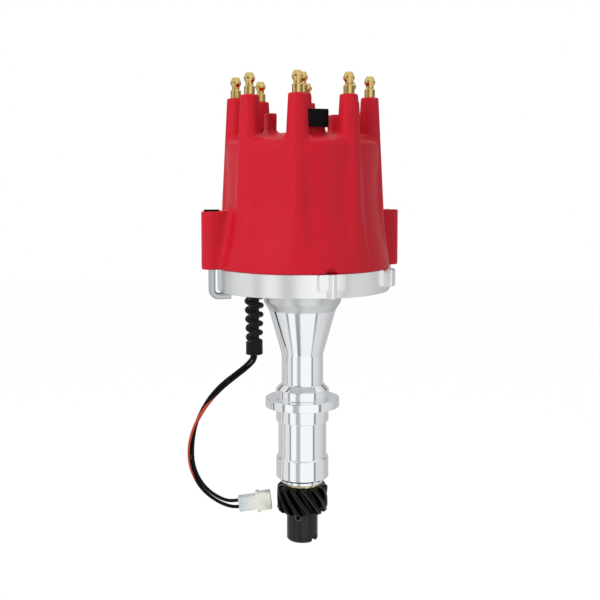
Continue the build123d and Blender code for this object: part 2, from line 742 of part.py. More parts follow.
# Cap: moulded shell with a domed roof, eight towers that run down the wall as ribs, a centre tower,
# two latch lugs and three roof posts
spigot_r = bowl_inner_r - spigot_gap
cavity_rim_r = spigot_r - spigot_wall
cavity_roof_r = roof_r - cap_wall
roof_top = bowl_top + roof_height
crown_top = bowl_top + crown_height
dome_rise = crown_top - roof_top
dome_r = (roof_r ** 2 + dome_rise ** 2) / (2 * dome_rise)
dome_mid = (roof_r / 2, crown_top - dome_r + math.sqrt(dome_r ** 2 - (roof_r / 2) ** 2))
tower_root = bowl_top + tower_root_height
lug_top = bowl_top + lug_height
brush_guide_bottom = bowl_top + brush_guide_height
post_top = bowl_top + post_height
with BuildPart() as cap:
    with BuildSketch(Plane.XZ):
        with BuildLine():
            Polyline(
                (0, bowl_top - spigot_depth), (spigot_r, bowl_top - spigot_depth), (spigot_r, bowl_top),
                (rim_r, bowl_top), (shoulder_r, bowl_top + shoulder_height), (roof_r, roof_top),
            )
            ThreePointArc((roof_r, roof_top), dome_mid, (0, crown_top))
            Line((0, crown_top), (0, bowl_top - spigot_depth))
        make_face()
    revolve(axis=Axis.Z)
    circles = cap.edges().filter_by(GeomType.CIRCLE)
    fillet(circles.filter_by_position(Axis.Z, roof_top - press_gap, roof_top + press_gap), radius=roof_round)
    with Locations((0, 0, tower_root)):
        with PolarLocations(tower_circle_r, tower_count, start_angle=tower_azimuth):
            Cone(
                tower_root_r, tower_top_r, tower_top - tower_root,
                align=(Align.CENTER, Align.CENTER, Align.MIN),
            )
    centre_root_r = tower_top_r + (centre_tower_top - cavity_top) * math.tan(math.radians(tower_draft))
    with Locations((0, 0, cavity_top)):
        Cone(
            centre_root_r, tower_top_r, centre_tower_top - cavity_top,
            align=(Align.CENTER, Align.CENTER, Align.MIN),
        )
    for azimuth in latch_azimuths:
        with BuildSketch(upright(0, azimuth, bowl_top)):
            with Locations((latch_circle_r, 0)):
                Circle(lug_r)
            with Locations((cavity_rim_r, 0)):
                Rectangle(latch_circle_r - cavity_rim_r, 2 * lug_r, align=(Align.MIN, Align.CENTER))
        extrude(amount=lug_height)
    for azimuth in post_azimuths:
        with BuildSketch(upright(post_circle_r, azimuth, cavity_top + cap_wall)):
            RectangleRounded(post_depth, post_width, post_depth / 4)
        extrude(amount=post_top - cavity_top - cap_wall)
    with BuildSketch(Plane.XZ):
        with BuildLine():
            Polyline(
                (0, bowl_top - spigot_depth), (cavity_rim_r, bowl_top - spigot_depth),
                (cavity_roof_r, cavity_top), (0, cavity_top), close=True,
            )
        make_face()
    revolve(axis=Axis.Z, mode=Mode.SUBTRACT)
    with BuildSketch(Plane.XY.offset(electrode_top)):
        with PolarLocations(tower_circle_r, tower_count, start_angle=tower_azimuth):
            Circle(insert_boss_r)
    extrude(amount=cavity_top + cap_wall / 2 - electrode_top)
    with BuildSketch(Plane.XY.offset(brush_guide_bottom)):
        Circle(brush_guide_r)
    extrude(amount=cavity_top + cap_wall / 2 - brush_guide_bottom)
    with BuildSketch(Plane.XY.offset(electrode_top)):
        with PolarLocations(tower_circle_r, tower_count, start_angle=tower_azimuth):
            Circle(insert_r + press_gap)
    extrude(amount=tower_top - electrode_top, mode=Mode.SUBTRACT)
    with BuildSketch(Plane.XY.offset(brush_guide_bottom)):
        Circle(insert_r + press_gap)
    extrude(amount=centre_tower_top - brush_guide_bottom, mode=Mode.SUBTRACT)
    for azimuth in latch_azimuths:
        with BuildSketch(upright(latch_circle_r, azimuth, lug_top)):
            Circle(lug_pocket_r)
        extrude(amount=-lug_pocket_depth, mode=Mode.SUBTRACT)
        with BuildSketch(upright(latch_circle_r, azimuth, lug_top)):
            Circle(latch_rod_r + latch_rod_gap)
        extrude(amount=-lug_height, mode=Mode.SUBTRACT)
    with BuildSketch(upright(rim_r, key_azimuth, bowl_top)):
        Rectangle(2 * rim_overhang + key_proud, key_width + 2 * key_notch_gap)
    extrude(amount=key_notch_height, mode=Mode.SUBTRACT)
save(cap.part, "distributor_cap")


def make_terminal(bottom, seat, top, electrode):
    """Brass terminal: optional electrode below the seat, rod through the tower, stud with a snap bulb."""
    waist_bottom = top + stud_collar_height + stud_r - stud_waist_r
    waist_top = waist_bottom + stud_waist_r / 2
    tip_top = top + stud_height
    bulb_mid = (waist_top + tip_top) / 2
    with BuildPart() as terminal:
        with BuildSketch(Plane.XZ):
            with BuildLine():
                Polyline(
                    (0, bottom), (electrode - electrode_taper, bottom), (electrode, seat), (insert_r, seat),
                    (insert_r, top),
                    (stud_r, top), (stud_r, top + stud_collar_height), (stud_waist_r, waist_bottom),
                    (stud_waist_r, waist_top),
                )
                ThreePointArc((stud_waist_r, waist_top), (stud_bulb_r, bulb_mid), (stud_tip_r, tip_top))
                Polyline((stud_tip_r, tip_top), (0, tip_top), (0, bottom))
            make_face()
        revolve(axis=Axis.Z)
    return terminal.part


plug_terminal = make_terminal(electrode_bottom, electrode_top, tower_top, electrode_r)
with BuildPart() as plug_terminals:
    with PolarLocations(tower_circle_r, tower_count, start_angle=tower_azimuth):
        add(plug_terminal)
save(plug_terminals.part, "plug_terminals")

# Coil terminal in the centre tower, with the spring and carbon brush that press on the rotor blade
coil_stud_r = insert_r - running_gap
coil_terminal = make_terminal(cavity_top, cavity_top + cap_wall, centre_tower_top, coil_stud_r)
save(coil_terminal, "coil_terminal")

brush_bottom = blade_top + end_float
brush_top = brush_bottom + brush_length
with BuildPart() as carbon_brush:
    with BuildSketch(Plane.XY.offset(brush_bottom)):
        Circle(brush_r - running_gap)
    extrude(amount=brush_length)
    fillet(carbon_brush.edges().group_by(Axis.Z)[0], radius=brush_r / 3)
save(carbon_brush.part, "carbon_brush")


def make_spring(bottom, top, coil_r, strand_r, turns):
    """Upright compression spring on the Z axis, between two levels."""
    height = top - bottom - 2 * strand_r
    with BuildPart() as spring:
        with BuildLine():
            Helix(height / turns, height, coil_r, center=(0, 0, bottom + strand_r))
        with BuildSketch(Plane(origin=(coil_r, 0, bottom + strand_r), z_dir=(0, 1, 0))):
            Circle(strand_r)
        sweep(is_frenet=True)
    return spring.part


brush_spring_r = brush_r - 3 * brush_spring_wire_r
brush_spring = make_spring(brush_top, cavity_top, brush_spring_r, brush_spring_wire_r, brush_spring_turns)
save(brush_spring, "brush_spring")

# Black clip pushed over the front roof post
with BuildPart() as roof_clip:
    clip_bottom = post_top - roof_clip_overlap
    with BuildSketch(upright(post_circle_r, clip_post_azimuth, clip_bottom)):
        RectangleRounded(roof_clip_depth, roof_clip_width, roof_clip_depth / 4)
    extrude(amount=roof_clip_height)
    fillet(roof_clip.edges().group_by(Axis.Z)[-1], radius=(roof_clip_height - roof_clip_overlap) / 2)
    with BuildSketch(upright(post_circle_r, clip_post_azimuth, clip_bottom)):
        Rectangle(post_depth + 2 * roof_clip_gap, post_width + 2 * roof_clip_gap)
    extrude(amount=roof_clip_overlap, mode=Mode.SUBTRACT)
save(roof_clip.part, "roof_clip")

# Cap latches: a slotted head in the lug pocket, a rod past the bowl and a hook under its rim
latch_foot_z = bowl_bottom - latch_seat_gap - latch_rod_r
latch_head_top = lug_top - latch_head_sink
latch_head_bottom = latch_head_top - latch_head_height
pocket_bottom = lug_top - lug_pocket_depth


def make_latch(azimuth):
    """Hook latch at an azimuth, hooked under the bowl."""
    radial_plane = Plane(
        origin=(0, 0, 0), x_dir=(*polar(1, azimuth), 0), z_dir=(*polar(1, azimuth - 90), 0)
    )
    with BuildPart() as latch:
        with BuildLine(radial_plane):
            FilletPolyline(
                (latch_circle_r, latch_head_bottom), (latch_circle_r, latch_foot_z),
                (latch_circle_r - latch_foot_length, latch_foot_z), radius=latch_bend_r,
            )
        with BuildSketch(upright(latch_circle_r, azimuth, latch_head_bottom)):
            Circle(latch_rod_r)
        sweep()
        with BuildSketch(upright(latch_circle_r, azimuth, latch_head_bottom)):
            Circle(latch_head_r)
        extrude(amount=latch_head_height)
        with BuildSketch(upright(latch_circle_r, azimuth, latch_head_top)):
            Rectangle(latch_slot_width, latch_head_r * 2)
        extrude(amount=-latch_slot_depth, mode=Mode.SUBTRACT)
    return latch.part


latch_spring_coil_r = (latch_rod_r + lug_pocket_r) / 2
latch_spring = make_spring(
    pocket_bottom + latch_seat_gap, latch_head_bottom - latch_seat_gap,
    latch_spring_coil_r, latch_spring_wire_r, latch_spring_turns,
)
for side, azimuth in zip(("right", "left"), latch_azimuths):
    save(make_latch(azimuth), f"latch_{side}")
    save(latch_spring.moved(Location((*polar(latch_circle_r, azimuth), 0))), f"latch_spring_{side}")

# Strain relief: flange and neck in the bowl floor, collar, spiral strand and end ring, on an upright axis
boot_x, boot_y = polar(boot_circle_r, boot_azimuth)
strand_inset = boot_strand_r + boot_strand_inset
strand_bottom = boot_bottom + boot_end_length - boot_strand_r
boot_collar_bottom = bowl_bottom - boot_collar_height
strand_top = boot_collar_bottom + boot_strand_r
strand_height = strand_top - strand_bottom
strand_spread = boot_top_r - boot_end_r
with BuildPart() as boot:
    with BuildSketch(Plane.XZ):
        with BuildLine():
            Polyline(
                (boot_bore_r, boot_collar_bottom), (boot_top_r, boot_collar_bottom),
                (boot_top_r, bowl_bottom), (boot_neck_r, bowl_bottom), (boot_neck_r, floor_top),
                (boot_flange_r, floor_top), (boot_flange_r, floor_top + boot_flange_height),
                (boot_bore_r, floor_top + boot_flange_height), close=True,
            )
        make_face()
        with Locations(((boot_bore_r + boot_end_r) / 2, boot_bottom)):
            Rectangle(boot_end_r - boot_bore_r, boot_end_length, align=(Align.CENTER, Align.MIN))
    revolve(axis=Axis.Z)
    with BuildLine():
        Helix(
            strand_height / boot_turns, strand_height, boot_end_r - strand_inset,
            center=(0, 0, strand_bottom), cone_angle=math.degrees(math.atan(strand_spread / strand_height)),
        )
    with BuildSketch(Plane(origin=(boot_end_r - strand_inset, 0, strand_bottom), z_dir=(0, 1, 0))):
        Circle(boot_strand_r)
    sweep(is_frenet=True)
save(boot.part.moved(Location((boot_x, boot_y, 0))), "strain_relief")


def bend_radii(points):
    """Largest arc that each corner of a route leaves room for."""
    radii = []
    for before, corner, after in zip(points, points[1:], points[2:]):
        first = Vector(corner) - Vector(before)
        second = Vector(after) - Vector(corner)
        half_turn = math.radians(first.get_angle(second)) / 2
        radii.append(bend_share * min(first.length, second.length) / math.tan(half_turn))
    return radii


def make_wire(points, name):
    """Round wire along a route, with its bend radii printed."""
    radii = bend_radii(points)
    print(name, "bend radii", [round(radius, 1) for radius in radii])
    with BuildPart() as wire:
        with BuildLine() as route:
            FilletPolyline(*points, radius=radii)
        start = Vector(points[0])
        with BuildSketch(Plane(origin=start, z_dir=Vector(points[1]) - start)):
            Circle(wire_r)
        sweep()
    length = sum(edge.length for edge in route.edges())
    volume_ratio = wire.part.volume / (math.pi * wire_r ** 2 * length)
    print(name, "length", round(length, 1), "volume over section times length", round(volume_ratio, 4))
    return wire.part


# Leads inside the bowl, from the strain relief's end up to the side of the pickup coil
lead_circle_r = boot_circle_r + lead_bow
coil_frame = upright(coil_mid_r, pickup_azimuth, 0)
coil_side = coil_frame.from_local_coords(Vector(0, pickup_coil_width / 2, 0))
lead_turn = coil_frame.from_local_coords(Vector(0, pickup_coil_width / 2 + lead_reach, 0))
lead_parts = []
for side, lift in zip((-1, 1), lead_lifts):
    level = floor_top + lift
    lead_x = boot_x + side * wire_pitch / 2
    lead_points = [(lead_x, boot_y, boot_bottom), (lead_x, boot_y, level)]
    lead_points += [(*polar(lead_circle_r, azimuth), level) for azimuth in lead_azimuths]
    lead_points += [(lead_turn.X, lead_turn.Y, level), (coil_side.X, coil_side.Y, level)]
    lead_parts.append(make_wire(lead_points, "pickup lead"))
save(Compound(children=lead_parts), "pickup_leads")

# Free wires: a black one and one with a coloured tracer, hand-chosen routes from strain relief to connector
plain_route = [
    (-30.8, -6.3, 33.4), (-30.8, -6.3, 31.4), (-32.6, -6.3, 28.9), (-36.1, -6.3, 25.5), (-42.0, -6.3, 20.9),
    (-49.3, -6.1, 15.2), (-55.9, -5.7, 8.3), (-61.1, -5.2, 0.5), (-65.4, -5.0, -8.6),
    (-67.5, -5.3, -17.8), (-68.3, -6.1, -26.7), (-67.8, -6.3, -35.2), (-65.5, -6.3, -42.5),
    (-61.6, -6.3, -49.0), (-56.4, -6.3, -54.0), (-51.4, -6.3, -57.0), (-46.9, -6.3, -58.8),
    (-42.1, -6.3, -58.9), (-37.2, -6.3, -58.2),
]
tracer_route = [
    (-28.3, -6.3, 33.4), (-28.3, -6.3, 30.3), (-30.5, -6.3, 27.1), (-34.4, -6.3, 23.6), (-40.4, -6.3, 18.9),
    (-47.5, -6.5, 13.2), (-54.1, -6.9, 6.9), (-60.1, -7.4, -0.3), (-65.4, -7.6, -8.6),
    (-69.1, -7.3, -17.4), (-70.9, -6.5, -26.5), (-70.4, -6.3, -35.6), (-67.9, -6.3, -43.5),
    (-63.6, -6.3, -50.6), (-58.0, -6.3, -56.0), (-51.9, -6.3, -59.8), (-46.8, -6.3, -61.9),
    (-41.6, -6.3, -63.0), (-36.4, -6.3, -62.2),
]
wire_plain = make_wire(plain_route, "plain wire")
save(wire_plain, "wire_plain")
wire_tracer = make_wire(tracer_route, "tracer wire")
save(wire_tracer, "wire_tracer")

# Two-pin connector: taller front half, wire holes behind, a socket for each contact in front
tilt = math.radians(connector_tilt)
connector_plane = Plane(
    origin=(connector_rear[0], boot_y, connector_rear[1]),
    x_dir=(math.cos(tilt), 0, math.sin(tilt)), z_dir=(-math.sin(tilt), 0, math.cos(tilt)),
)
with BuildPart(connector_plane) as connector:
    Box(
        connector_length, connector_depth, connector_rear_height,
        align=(Align.MIN, Align.CENTER, Align.CENTER),
    )
    with Locations((connector_rear_length, 0, 0)):
        Box(
            connector_length - connector_rear_length, connector_depth, connector_front_height,
            align=(Align.MIN, Align.CENTER, Align.CENTER),
        )
    connector_axis = Axis(connector_plane.origin, connector_plane.x_dir)
    fillet(connector.edges().filter_by(connector_axis), radius=connector_round)
    with Locations((connector_rear_length, 0, 0)):
        Box(
            connector_tab_width, connector_tab_depth, connector_front_height + 2 * connector_tab_proud,
            align=(Align.MIN, Align.CENTER, Align.CENTER),
        )
    for side in (-1, 1):
        with Locations((0, 0, side * contact_pitch / 2)):
            Cylinder(
                wire_r + 3 * running_gap, connector_length, rotation=(0, 90, 0),
                align=(Align.CENTER, Align.CENTER, Align.MIN), mode=Mode.SUBTRACT,
            )
        with Locations((connector_length, 0, side * contact_pitch / 2)):
            Box(
                contact_cavity_depth, contact_cavity_width, contact_cavity_width,
                align=(Align.MAX, Align.CENTER, Align.CENTER), mode=Mode.SUBTRACT,
            )
save(connector.part, "connector_shell")

with BuildPart(connector_plane) as contacts:
    for side in (-1, 1):
        with Locations((contact_setback, 0, side * contact_pitch / 2)):
            Cylinder(
                contact_r, contact_length, rotation=(0, 90, 0),
                align=(Align.CENTER, Align.CENTER, Align.MIN),
            )
save(contacts.part, "connector_contacts")
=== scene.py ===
"""Looks of an ignition distributor: finishes, fine forms, leads, studio light and camera, in metres."""
import logging
import math
from collections.abc import Callable
from dataclasses import dataclass
from enum import Enum

import bmesh
import bpy
import numpy as np
from mathutils import Matrix, Vector


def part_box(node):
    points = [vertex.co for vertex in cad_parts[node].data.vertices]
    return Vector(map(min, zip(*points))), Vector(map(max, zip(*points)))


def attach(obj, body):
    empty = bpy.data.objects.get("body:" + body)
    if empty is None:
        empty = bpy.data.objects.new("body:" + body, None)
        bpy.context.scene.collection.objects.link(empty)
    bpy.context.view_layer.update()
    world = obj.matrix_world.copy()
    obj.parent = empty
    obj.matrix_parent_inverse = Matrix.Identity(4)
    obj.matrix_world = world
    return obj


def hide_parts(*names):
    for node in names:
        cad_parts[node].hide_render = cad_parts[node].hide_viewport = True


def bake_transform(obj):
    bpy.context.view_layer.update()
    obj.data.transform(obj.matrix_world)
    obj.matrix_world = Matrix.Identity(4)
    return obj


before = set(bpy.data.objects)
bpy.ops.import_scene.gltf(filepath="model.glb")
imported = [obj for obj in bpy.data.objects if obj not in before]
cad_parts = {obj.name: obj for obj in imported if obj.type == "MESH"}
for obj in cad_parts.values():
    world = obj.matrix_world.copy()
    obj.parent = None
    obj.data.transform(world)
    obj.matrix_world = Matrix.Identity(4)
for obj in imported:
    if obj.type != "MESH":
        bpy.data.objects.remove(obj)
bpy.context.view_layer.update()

MM = 0.001
LOG = logging.getLogger("distributor")
Profile = list[tuple[float, float]]
Corner = tuple[float, float, float]
Point = tuple[float, float, float]
Gaps = tuple[tuple[float, float], ...]
# Largest share of a straight that one round may take, and how far out its holding points stand.
ROUND_SHARE = 0.45
HOLD = 1.25


# Small tools


def srgb(colour: str) -> tuple[float, float, float, float]:
    """Turn an sRGB hex colour into linear RGBA.

    Args:
        colour: Six hex digits after a hash sign.

    Returns:
        Linear red, green, blue and an alpha of one.
    """
    channels = [int(colour[i:i + 2], 16) / 255 for i in (1, 3, 5)]
    linear = [c / 12.92 if c <= 0.04045 else ((c + 0.055) / 1.055) ** 2.4 for c in channels]
    return (*linear, 1.0)


def add_node(
    tree: bpy.types.NodeTree, kind: str, inputs: dict[str | int, object] | None = None, **settings: object
) -> bpy.types.Node:
    """Add one node to a tree.

    Args:
        tree: Node tree to add to.
        kind: Node type name.
        inputs: Socket name or index to a value, or to an output socket to link from.
        settings: Attributes of the node itself.

    Returns:
        The new node.
    """
    node = tree.nodes.new(kind)
    for name, value in settings.items():
        setattr(node, name, value)
    for name, value in (inputs or {}).items():
        if isinstance(value, bpy.types.NodeSocket):
            tree.links.new(value, node.inputs[name])
        else:
            node.inputs[name].default_value = value
    return node


def rounded_outline(corners: list[Corner], closed: bool = False, steps: int = 5) -> Profile:
    """Round the corners of a turned outline and add holding points beside each round.

    Args:
        corners: Radius, level and corner radius of each point, in millimetres.
        closed: Whether the last corner joins the first.
        steps: Number of pieces in each round.

    Returns:
        Radius and level of every point, in millimetres.
    """
    points: Profile = []
    count = len(corners)
    for index, (r, z, round_r) in enumerate(corners):
        if round_r == 0 or (not closed and index in (0, count - 1)):
            points.append((r, z))
            continue
        here = Vector((r, z))
        back = Vector(corners[index - 1][:2]) - here
        ahead = Vector(corners[(index + 1) % count][:2]) - here
        turn = math.pi - back.angle(ahead)
        reach = min(round_r * math.tan(turn / 2), ROUND_SHARE * back.length, ROUND_SHARE * ahead.length)
        start = here + back.normalized() * reach
        end = here + ahead.normalized() * reach
        points.append(tuple(here + back.normalized() * reach * HOLD))
        for step in range(steps + 1):
            t = step / steps
            points.append(tuple(start * (1 - t) ** 2 + here * (2 * t * (1 - t)) + end * t ** 2))
        points.append(tuple(here + ahead.normalized() * reach * HOLD))
    return points


def new_piece(name: str, mesh: bpy.types.Mesh, smooth_angle: float = 32.0) -> bpy.types.Object:
    """Make an object of a mesh, with merged doubles, outward faces and smooth shading up to an angle.

    Args:
        name: Name of the piece.
        mesh: Its mesh, in the frame's own coordinates.
        smooth_angle: Edges sharper than this many degrees stay sharp.

    Returns:
        The linked object.
    """
    work = bmesh.new()
    work.from_mesh(mesh)
    bmesh.ops.remove_doubles(work, verts=work.verts, dist=1e-6)
    bmesh.ops.recalc_face_normals(work, faces=work.faces)
    work.to_mesh(mesh)
    work.free()
    mesh.shade_smooth()
    mesh.set_sharp_from_angle(angle=math.radians(smooth_angle))
    piece = bpy.data.objects.new(name, mesh)
    bpy.context.scene.collection.objects.link(piece)
    return piece


def lathe_mesh(name: str, outline: Profile, segments: int = 144, closed: bool = False) -> bpy.types.Mesh:
    """Turn an outline round the Z axis.

    Args:
        name: Name of the mesh.
        outline: Radius and level of each point, in millimetres; radius 0 is a pole.
        segments: Number of faces round the axis.
        closed: Whether the outline is a loop.

    Returns:
        The turned mesh, in metres.
    """
    verts: list[Point] = []
    rings: list[list[int]] = []
    for r, z in outline:
        first = len(verts)
        if r < 1e-6:
            verts.append((0, 0, z * MM))
            rings.append([first] * segments)
            continue
        for k in range(segments):
            angle = math.tau * k / segments
            verts.append((r * math.cos(angle) * MM, r * math.sin(angle) * MM, z * MM))
        rings.append(list(range(first, first + segments)))
    pairs = list(zip(rings, rings[1:]))
    if closed:
        pairs.append((rings[-1], rings[0]))
    faces = []
    for low, high in pairs:
        for k in range(segments):
            ring = [low[k], low[(k + 1) % segments], high[(k + 1) % segments], high[k]]
            corners = list(dict.fromkeys(ring))
            if len(corners) > 2:
                faces.append(corners)
    mesh = bpy.data.meshes.new(name)
    mesh.from_pydata(verts, [], faces)
    return mesh


def apply_modifiers(piece: bpy.types.Object) -> None:
    """Turn the live modifiers of a piece into plain mesh.

    Args:
        piece: Piece to change.
    """
    graph = bpy.context.evaluated_depsgraph_get()
    piece.data = bpy.data.meshes.new_from_object(piece.evaluated_get(graph))
    piece.modifiers.clear()


def join_meshes(name: str, meshes: list[bpy.types.Mesh]) -> bpy.types.Mesh:
    """Gather several meshes in one, keeping their attributes and material numbers.

    Args:
        name: Name of the new mesh.
        meshes: Meshes to gather.

    Returns:
        The gathered mesh.
    """
    work = bmesh.new()
    for mesh in meshes:
        work.from_mesh(mesh)
    gathered = bpy.data.meshes.new(name)
    work.to_mesh(gathered)
    work.free()
    return gathered


def rounded_block(
    name: str, size: tuple[float, float, float], round_mm: float, place: Matrix
) -> bpy.types.Mesh:
    """Box with rounded edges, centred on its own origin and then placed.

    Args:
        name: Name of the mesh.
        size: Full length along each axis, in millimetres.
        round_mm: Radius of the edges, in millimetres.
        place: Where the box goes, in metres.

    Returns:
        The placed mesh.
    """
    work = bmesh.new()
    bmesh.ops.create_cube(work, size=1)
    bmesh.ops.scale(work, vec=[s * MM for s in size], verts=work.verts)
    bmesh.ops.bevel(
        work, geom=work.edges[:], offset=round_mm * MM, segments=4, profile=0.5, affect="EDGES"
    )
    bmesh.ops.transform(work, matrix=place, verts=work.verts)
    mesh = bpy.data.meshes.new(name)
    work.to_mesh(mesh)
    work.free()
    return mesh


def cut(piece: bpy.types.Object, tool: bpy.types.Mesh) -> None:
    """Cut the form of a tool out of a piece.

    Args:
        piece: Piece to change.
        tool: Mesh of the tool, in place.
    """
    other = bpy.data.objects.new("tool", tool)
    bpy.context.scene.collection.objects.link(other)
    modifier = piece.modifiers.new("boolean", "BOOLEAN")
    modifier.object = other
    modifier.operation = "DIFFERENCE"
    modifier.solver = "EXACT"
    apply_modifiers(piece)
    bpy.data.objects.remove(other)


def upright(radius: float, azimuth: float, level: float) -> Matrix:
    """Place at a radius, azimuth and level, with X pointing outwards; millimetres and degrees."""
    turn = Matrix.Rotation(math.radians(azimuth), 4, "Z")
    return turn @ Matrix.Translation(Vector((radius, 0, level)) * MM)


def settle(piece: bpy.types.Object, body: str, nodes: list[str]) -> None:
    """Hand a finished piece to its body and the solids that it stands for.

    Args:
        piece: Finished piece.
        body: Body that it rides on.
        nodes: Solids that it stands for.
    """
    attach(piece, body)
    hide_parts(*nodes)
    LOG.info("%s rides on %s with %d faces", piece.name, body, len(piece.data.polygons))


def fill_corners(
    mesh: bpy.types.Mesh, grid: float, outside: np.ndarray, spread: int = 12, rounds: int = 110
) -> None:
    """Round the inner corners of a moulding's outside, as a mould does, and leave its outer edges.

    Args:
        mesh: Evenly meshed moulding.
        grid: Length of its edges, in metres.
        outside: Whether each vertex lies on the outside.
        spread: How many edges each round reaches from its corner.
        rounds: Number of smoothing steps.
    """
    count = len(mesh.vertices)
    place = points_of(mesh)
    normal = np.empty(count * 3)
    mesh.vertices.foreach_get("normal", normal)
    normal = normal.reshape(-1, 3)
    ends = np.empty(len(mesh.edges) * 2, int)
    mesh.edges.foreach_get("vertices", ends)
    first, last = ends.reshape(-1, 2).T
    here = np.concatenate([first, last])
    there = np.concatenate([last, first])
    degree = np.maximum(np.bincount(here, minlength=count), 1)

    def average(values: np.ndarray) -> np.ndarray:
        """Mean of each vertex's neighbours, for one column of values."""
        return np.bincount(here, weights=values[there], minlength=count) / degree

    def pull() -> np.ndarray:
        """Step from each vertex to the mean of its neighbours."""
        return np.stack([average(place[:, k]) - place[:, k] for k in range(3)], axis=1)

    # Hollowness at which a round starts, how much more makes it full, what is left of it one edge on,
    # and the length of each step.
    start, full, fade, pace = 0.012, 0.04, 0.94, 0.6
    hollow = np.einsum("ij,ij->i", pull(), normal) / grid
    for _ in range(3):
        hollow = average(hollow)
    weight = np.clip((hollow - start) / full, 0, 1) * outside
    for _ in range(spread):
        weight = np.maximum(weight, fade * average(weight)) * outside
    for _ in range(rounds):
        place += pace * weight[:, None] * pull()
    mesh.vertices.foreach_set("co", place.ravel())
    mesh.update()


def points_of(mesh: bpy.types.Mesh) -> np.ndarray:
    """Read where the vertices of a mesh are.

    Args:
        mesh: Mesh to read.

    Returns:
        One row of X, Y and Z for each vertex, in metres.
    """
    place = np.empty(len(mesh.vertices) * 3)
    mesh.vertices.foreach_get("co", place)
    return place.reshape(-1, 3)


# Finishes


@dataclass(frozen=True)
class Finish:
    """One procedural finish; colours in sRGB hex, lengths in millimetres."""

    name: str
    colour: str
    roughness: float
    metallic: float = 0.0
    mottle: float = 0.06
    mottle_mm: float = 6.0
    grain: float = 0.0
    grain_mm: float = 0.5
    rough_swing: float = 0.05
    specular: float = 0.5
    grain_depth: float = 0.4

    def make(self) -> bpy.types.Material:
        """Build the material.

        Returns:
            The finished material.
        """
        material = bpy.data.materials.new(self.name)
        material.use_nodes = True
        tree = material.node_tree
        shader = tree.nodes["Principled BSDF"]
        shader.inputs["Metallic"].default_value = self.metallic
        shader.inputs["Specular IOR Level"].default_value = self.specular
        place = add_node(tree, "ShaderNodeTexCoord").outputs["Object"]
        cloud = self.pattern(tree, place, self.mottle_mm)
        self.paint(tree, shader, cloud)
        rough = add_node(
            tree, "ShaderNodeMapRange",
            {"Value": cloud, 3: self.roughness - self.rough_swing, 4: self.roughness + self.rough_swing},
        )
        tree.links.new(rough.outputs[0], shader.inputs["Roughness"])
        if self.grain:
            height = self.relief(tree, place)
            bump = add_node(
                tree, "ShaderNodeBump",
                {"Strength": self.grain, "Distance": self.grain_mm * MM * self.grain_depth, "Height": height},
            )
            tree.links.new(bump.outputs[0], shader.inputs["Normal"])
        return material

    def pattern(
        self, tree: bpy.types.NodeTree, place: bpy.types.NodeSocket, size_mm: float
    ) -> bpy.types.NodeSocket:
        """Cloudy pattern with features of a given size.

        Args:
            tree: Node tree of the material.
            place: Coordinates of the surface.
            size_mm: Size of the features, in millimetres.

        Returns:
            The pattern, from 0 to 1.
        """
        noise = add_node(
            tree, "ShaderNodeTexNoise", {"Vector": place, "Scale": 1 / (size_mm * MM), "Detail": 3.0}
        )
        return noise.outputs[0]

    def paint(self, tree: bpy.types.NodeTree, shader: bpy.types.Node, cloud: bpy.types.NodeSocket) -> None:
        """Colour the surface, a little lighter and darker in clouds.

        Args:
            tree: Node tree of the material.
            shader: Its shader node.
            cloud: Cloudy pattern from 0 to 1.
        """
        base = srgb(self.colour)
        low = [c * (1 - self.mottle) for c in base[:3]] + [1.0]
        high = [min(1.0, c * (1 + self.mottle)) for c in base[:3]] + [1.0]
        mix = add_node(tree, "ShaderNodeMix", {0: cloud, 6: low, 7: high}, data_type="RGBA")
        tree.links.new(mix.outputs[2], shader.inputs["Base Color"])

    def relief(self, tree: bpy.types.NodeTree, place: bpy.types.NodeSocket) -> bpy.types.NodeSocket:
        """Fine height pattern of the surface.

        Args:
            tree: Node tree of the material.
            place: Coordinates of the surface.

        Returns:
            The height.
        """
        return self.pattern(tree, place, self.grain_mm)


@dataclass(frozen=True)
class TurnedFinish(Finish):
    """Metal turned on a lathe: fine rings along the Z axis."""

    def relief(self, tree: bpy.types.NodeTree, place: bpy.types.NodeSocket) -> bpy.types.NodeSocket:
        """Rings of uneven depth, one cut after another along the axis.

        Args:
            tree: Node tree of the material.
            place: Coordinates of the surface.

        Returns:
            The height.
        """
        stretch = (8.0, 8.0, 1 / (self.grain_mm * MM))
        squeeze = add_node(tree, "ShaderNodeMapping", {"Vector": place, "Scale": stretch})
        noise = add_node(
            tree, "ShaderNodeTexNoise", {"Vector": squeeze.outputs[0], "Scale": 1.0, "Detail": 2.0}
        )
        return noise.outputs[0]


@dataclass(frozen=True)
class WearAndHighlightFinish(Finish):
    """Dark finish mixed to a second colour where a mesh attribute is high: real wear, and along the gear's
    crests a painted highlight.
    """

    # Second colour: worn metal, and on the gear's crests the colour of a painted highlight.
    wear_and_highlight_colour: str = "#6A6B6D"

    def paint(self, tree: bpy.types.NodeTree, shader: bpy.types.Node, cloud: bpy.types.NodeSocket) -> None:
        """Mix the second colour in by the mesh attribute, broken up by the cloud pattern; on the gear's
        crests this paints a highlight over the wear.

        Args:
            tree: Node tree of the material.
            shader: Its shader node.
            cloud: Cloudy pattern from 0 to 1.
        """
        wear_and_highlight = add_node(tree, "ShaderNodeAttribute", attribute_name="wear_and_highlight").outputs["Fac"]
        broken = add_node(tree, "ShaderNodeMath", {0: cloud, 1: 0.9, 2: 0.3}, operation="MULTIPLY_ADD")
        amount = add_node(
            tree, "ShaderNodeMath", {0: wear_and_highlight, 1: broken.outputs[0]}, operation="MULTIPLY", use_clamp=True
        )
        mix = add_node(
            tree, "ShaderNodeMix",
            {0: amount.outputs[0], 6: srgb(self.colour), 7: srgb(self.wear_and_highlight_colour)}, data_type="RGBA",
        )
        tree.links.new(mix.outputs[2], shader.inputs["Base Color"])


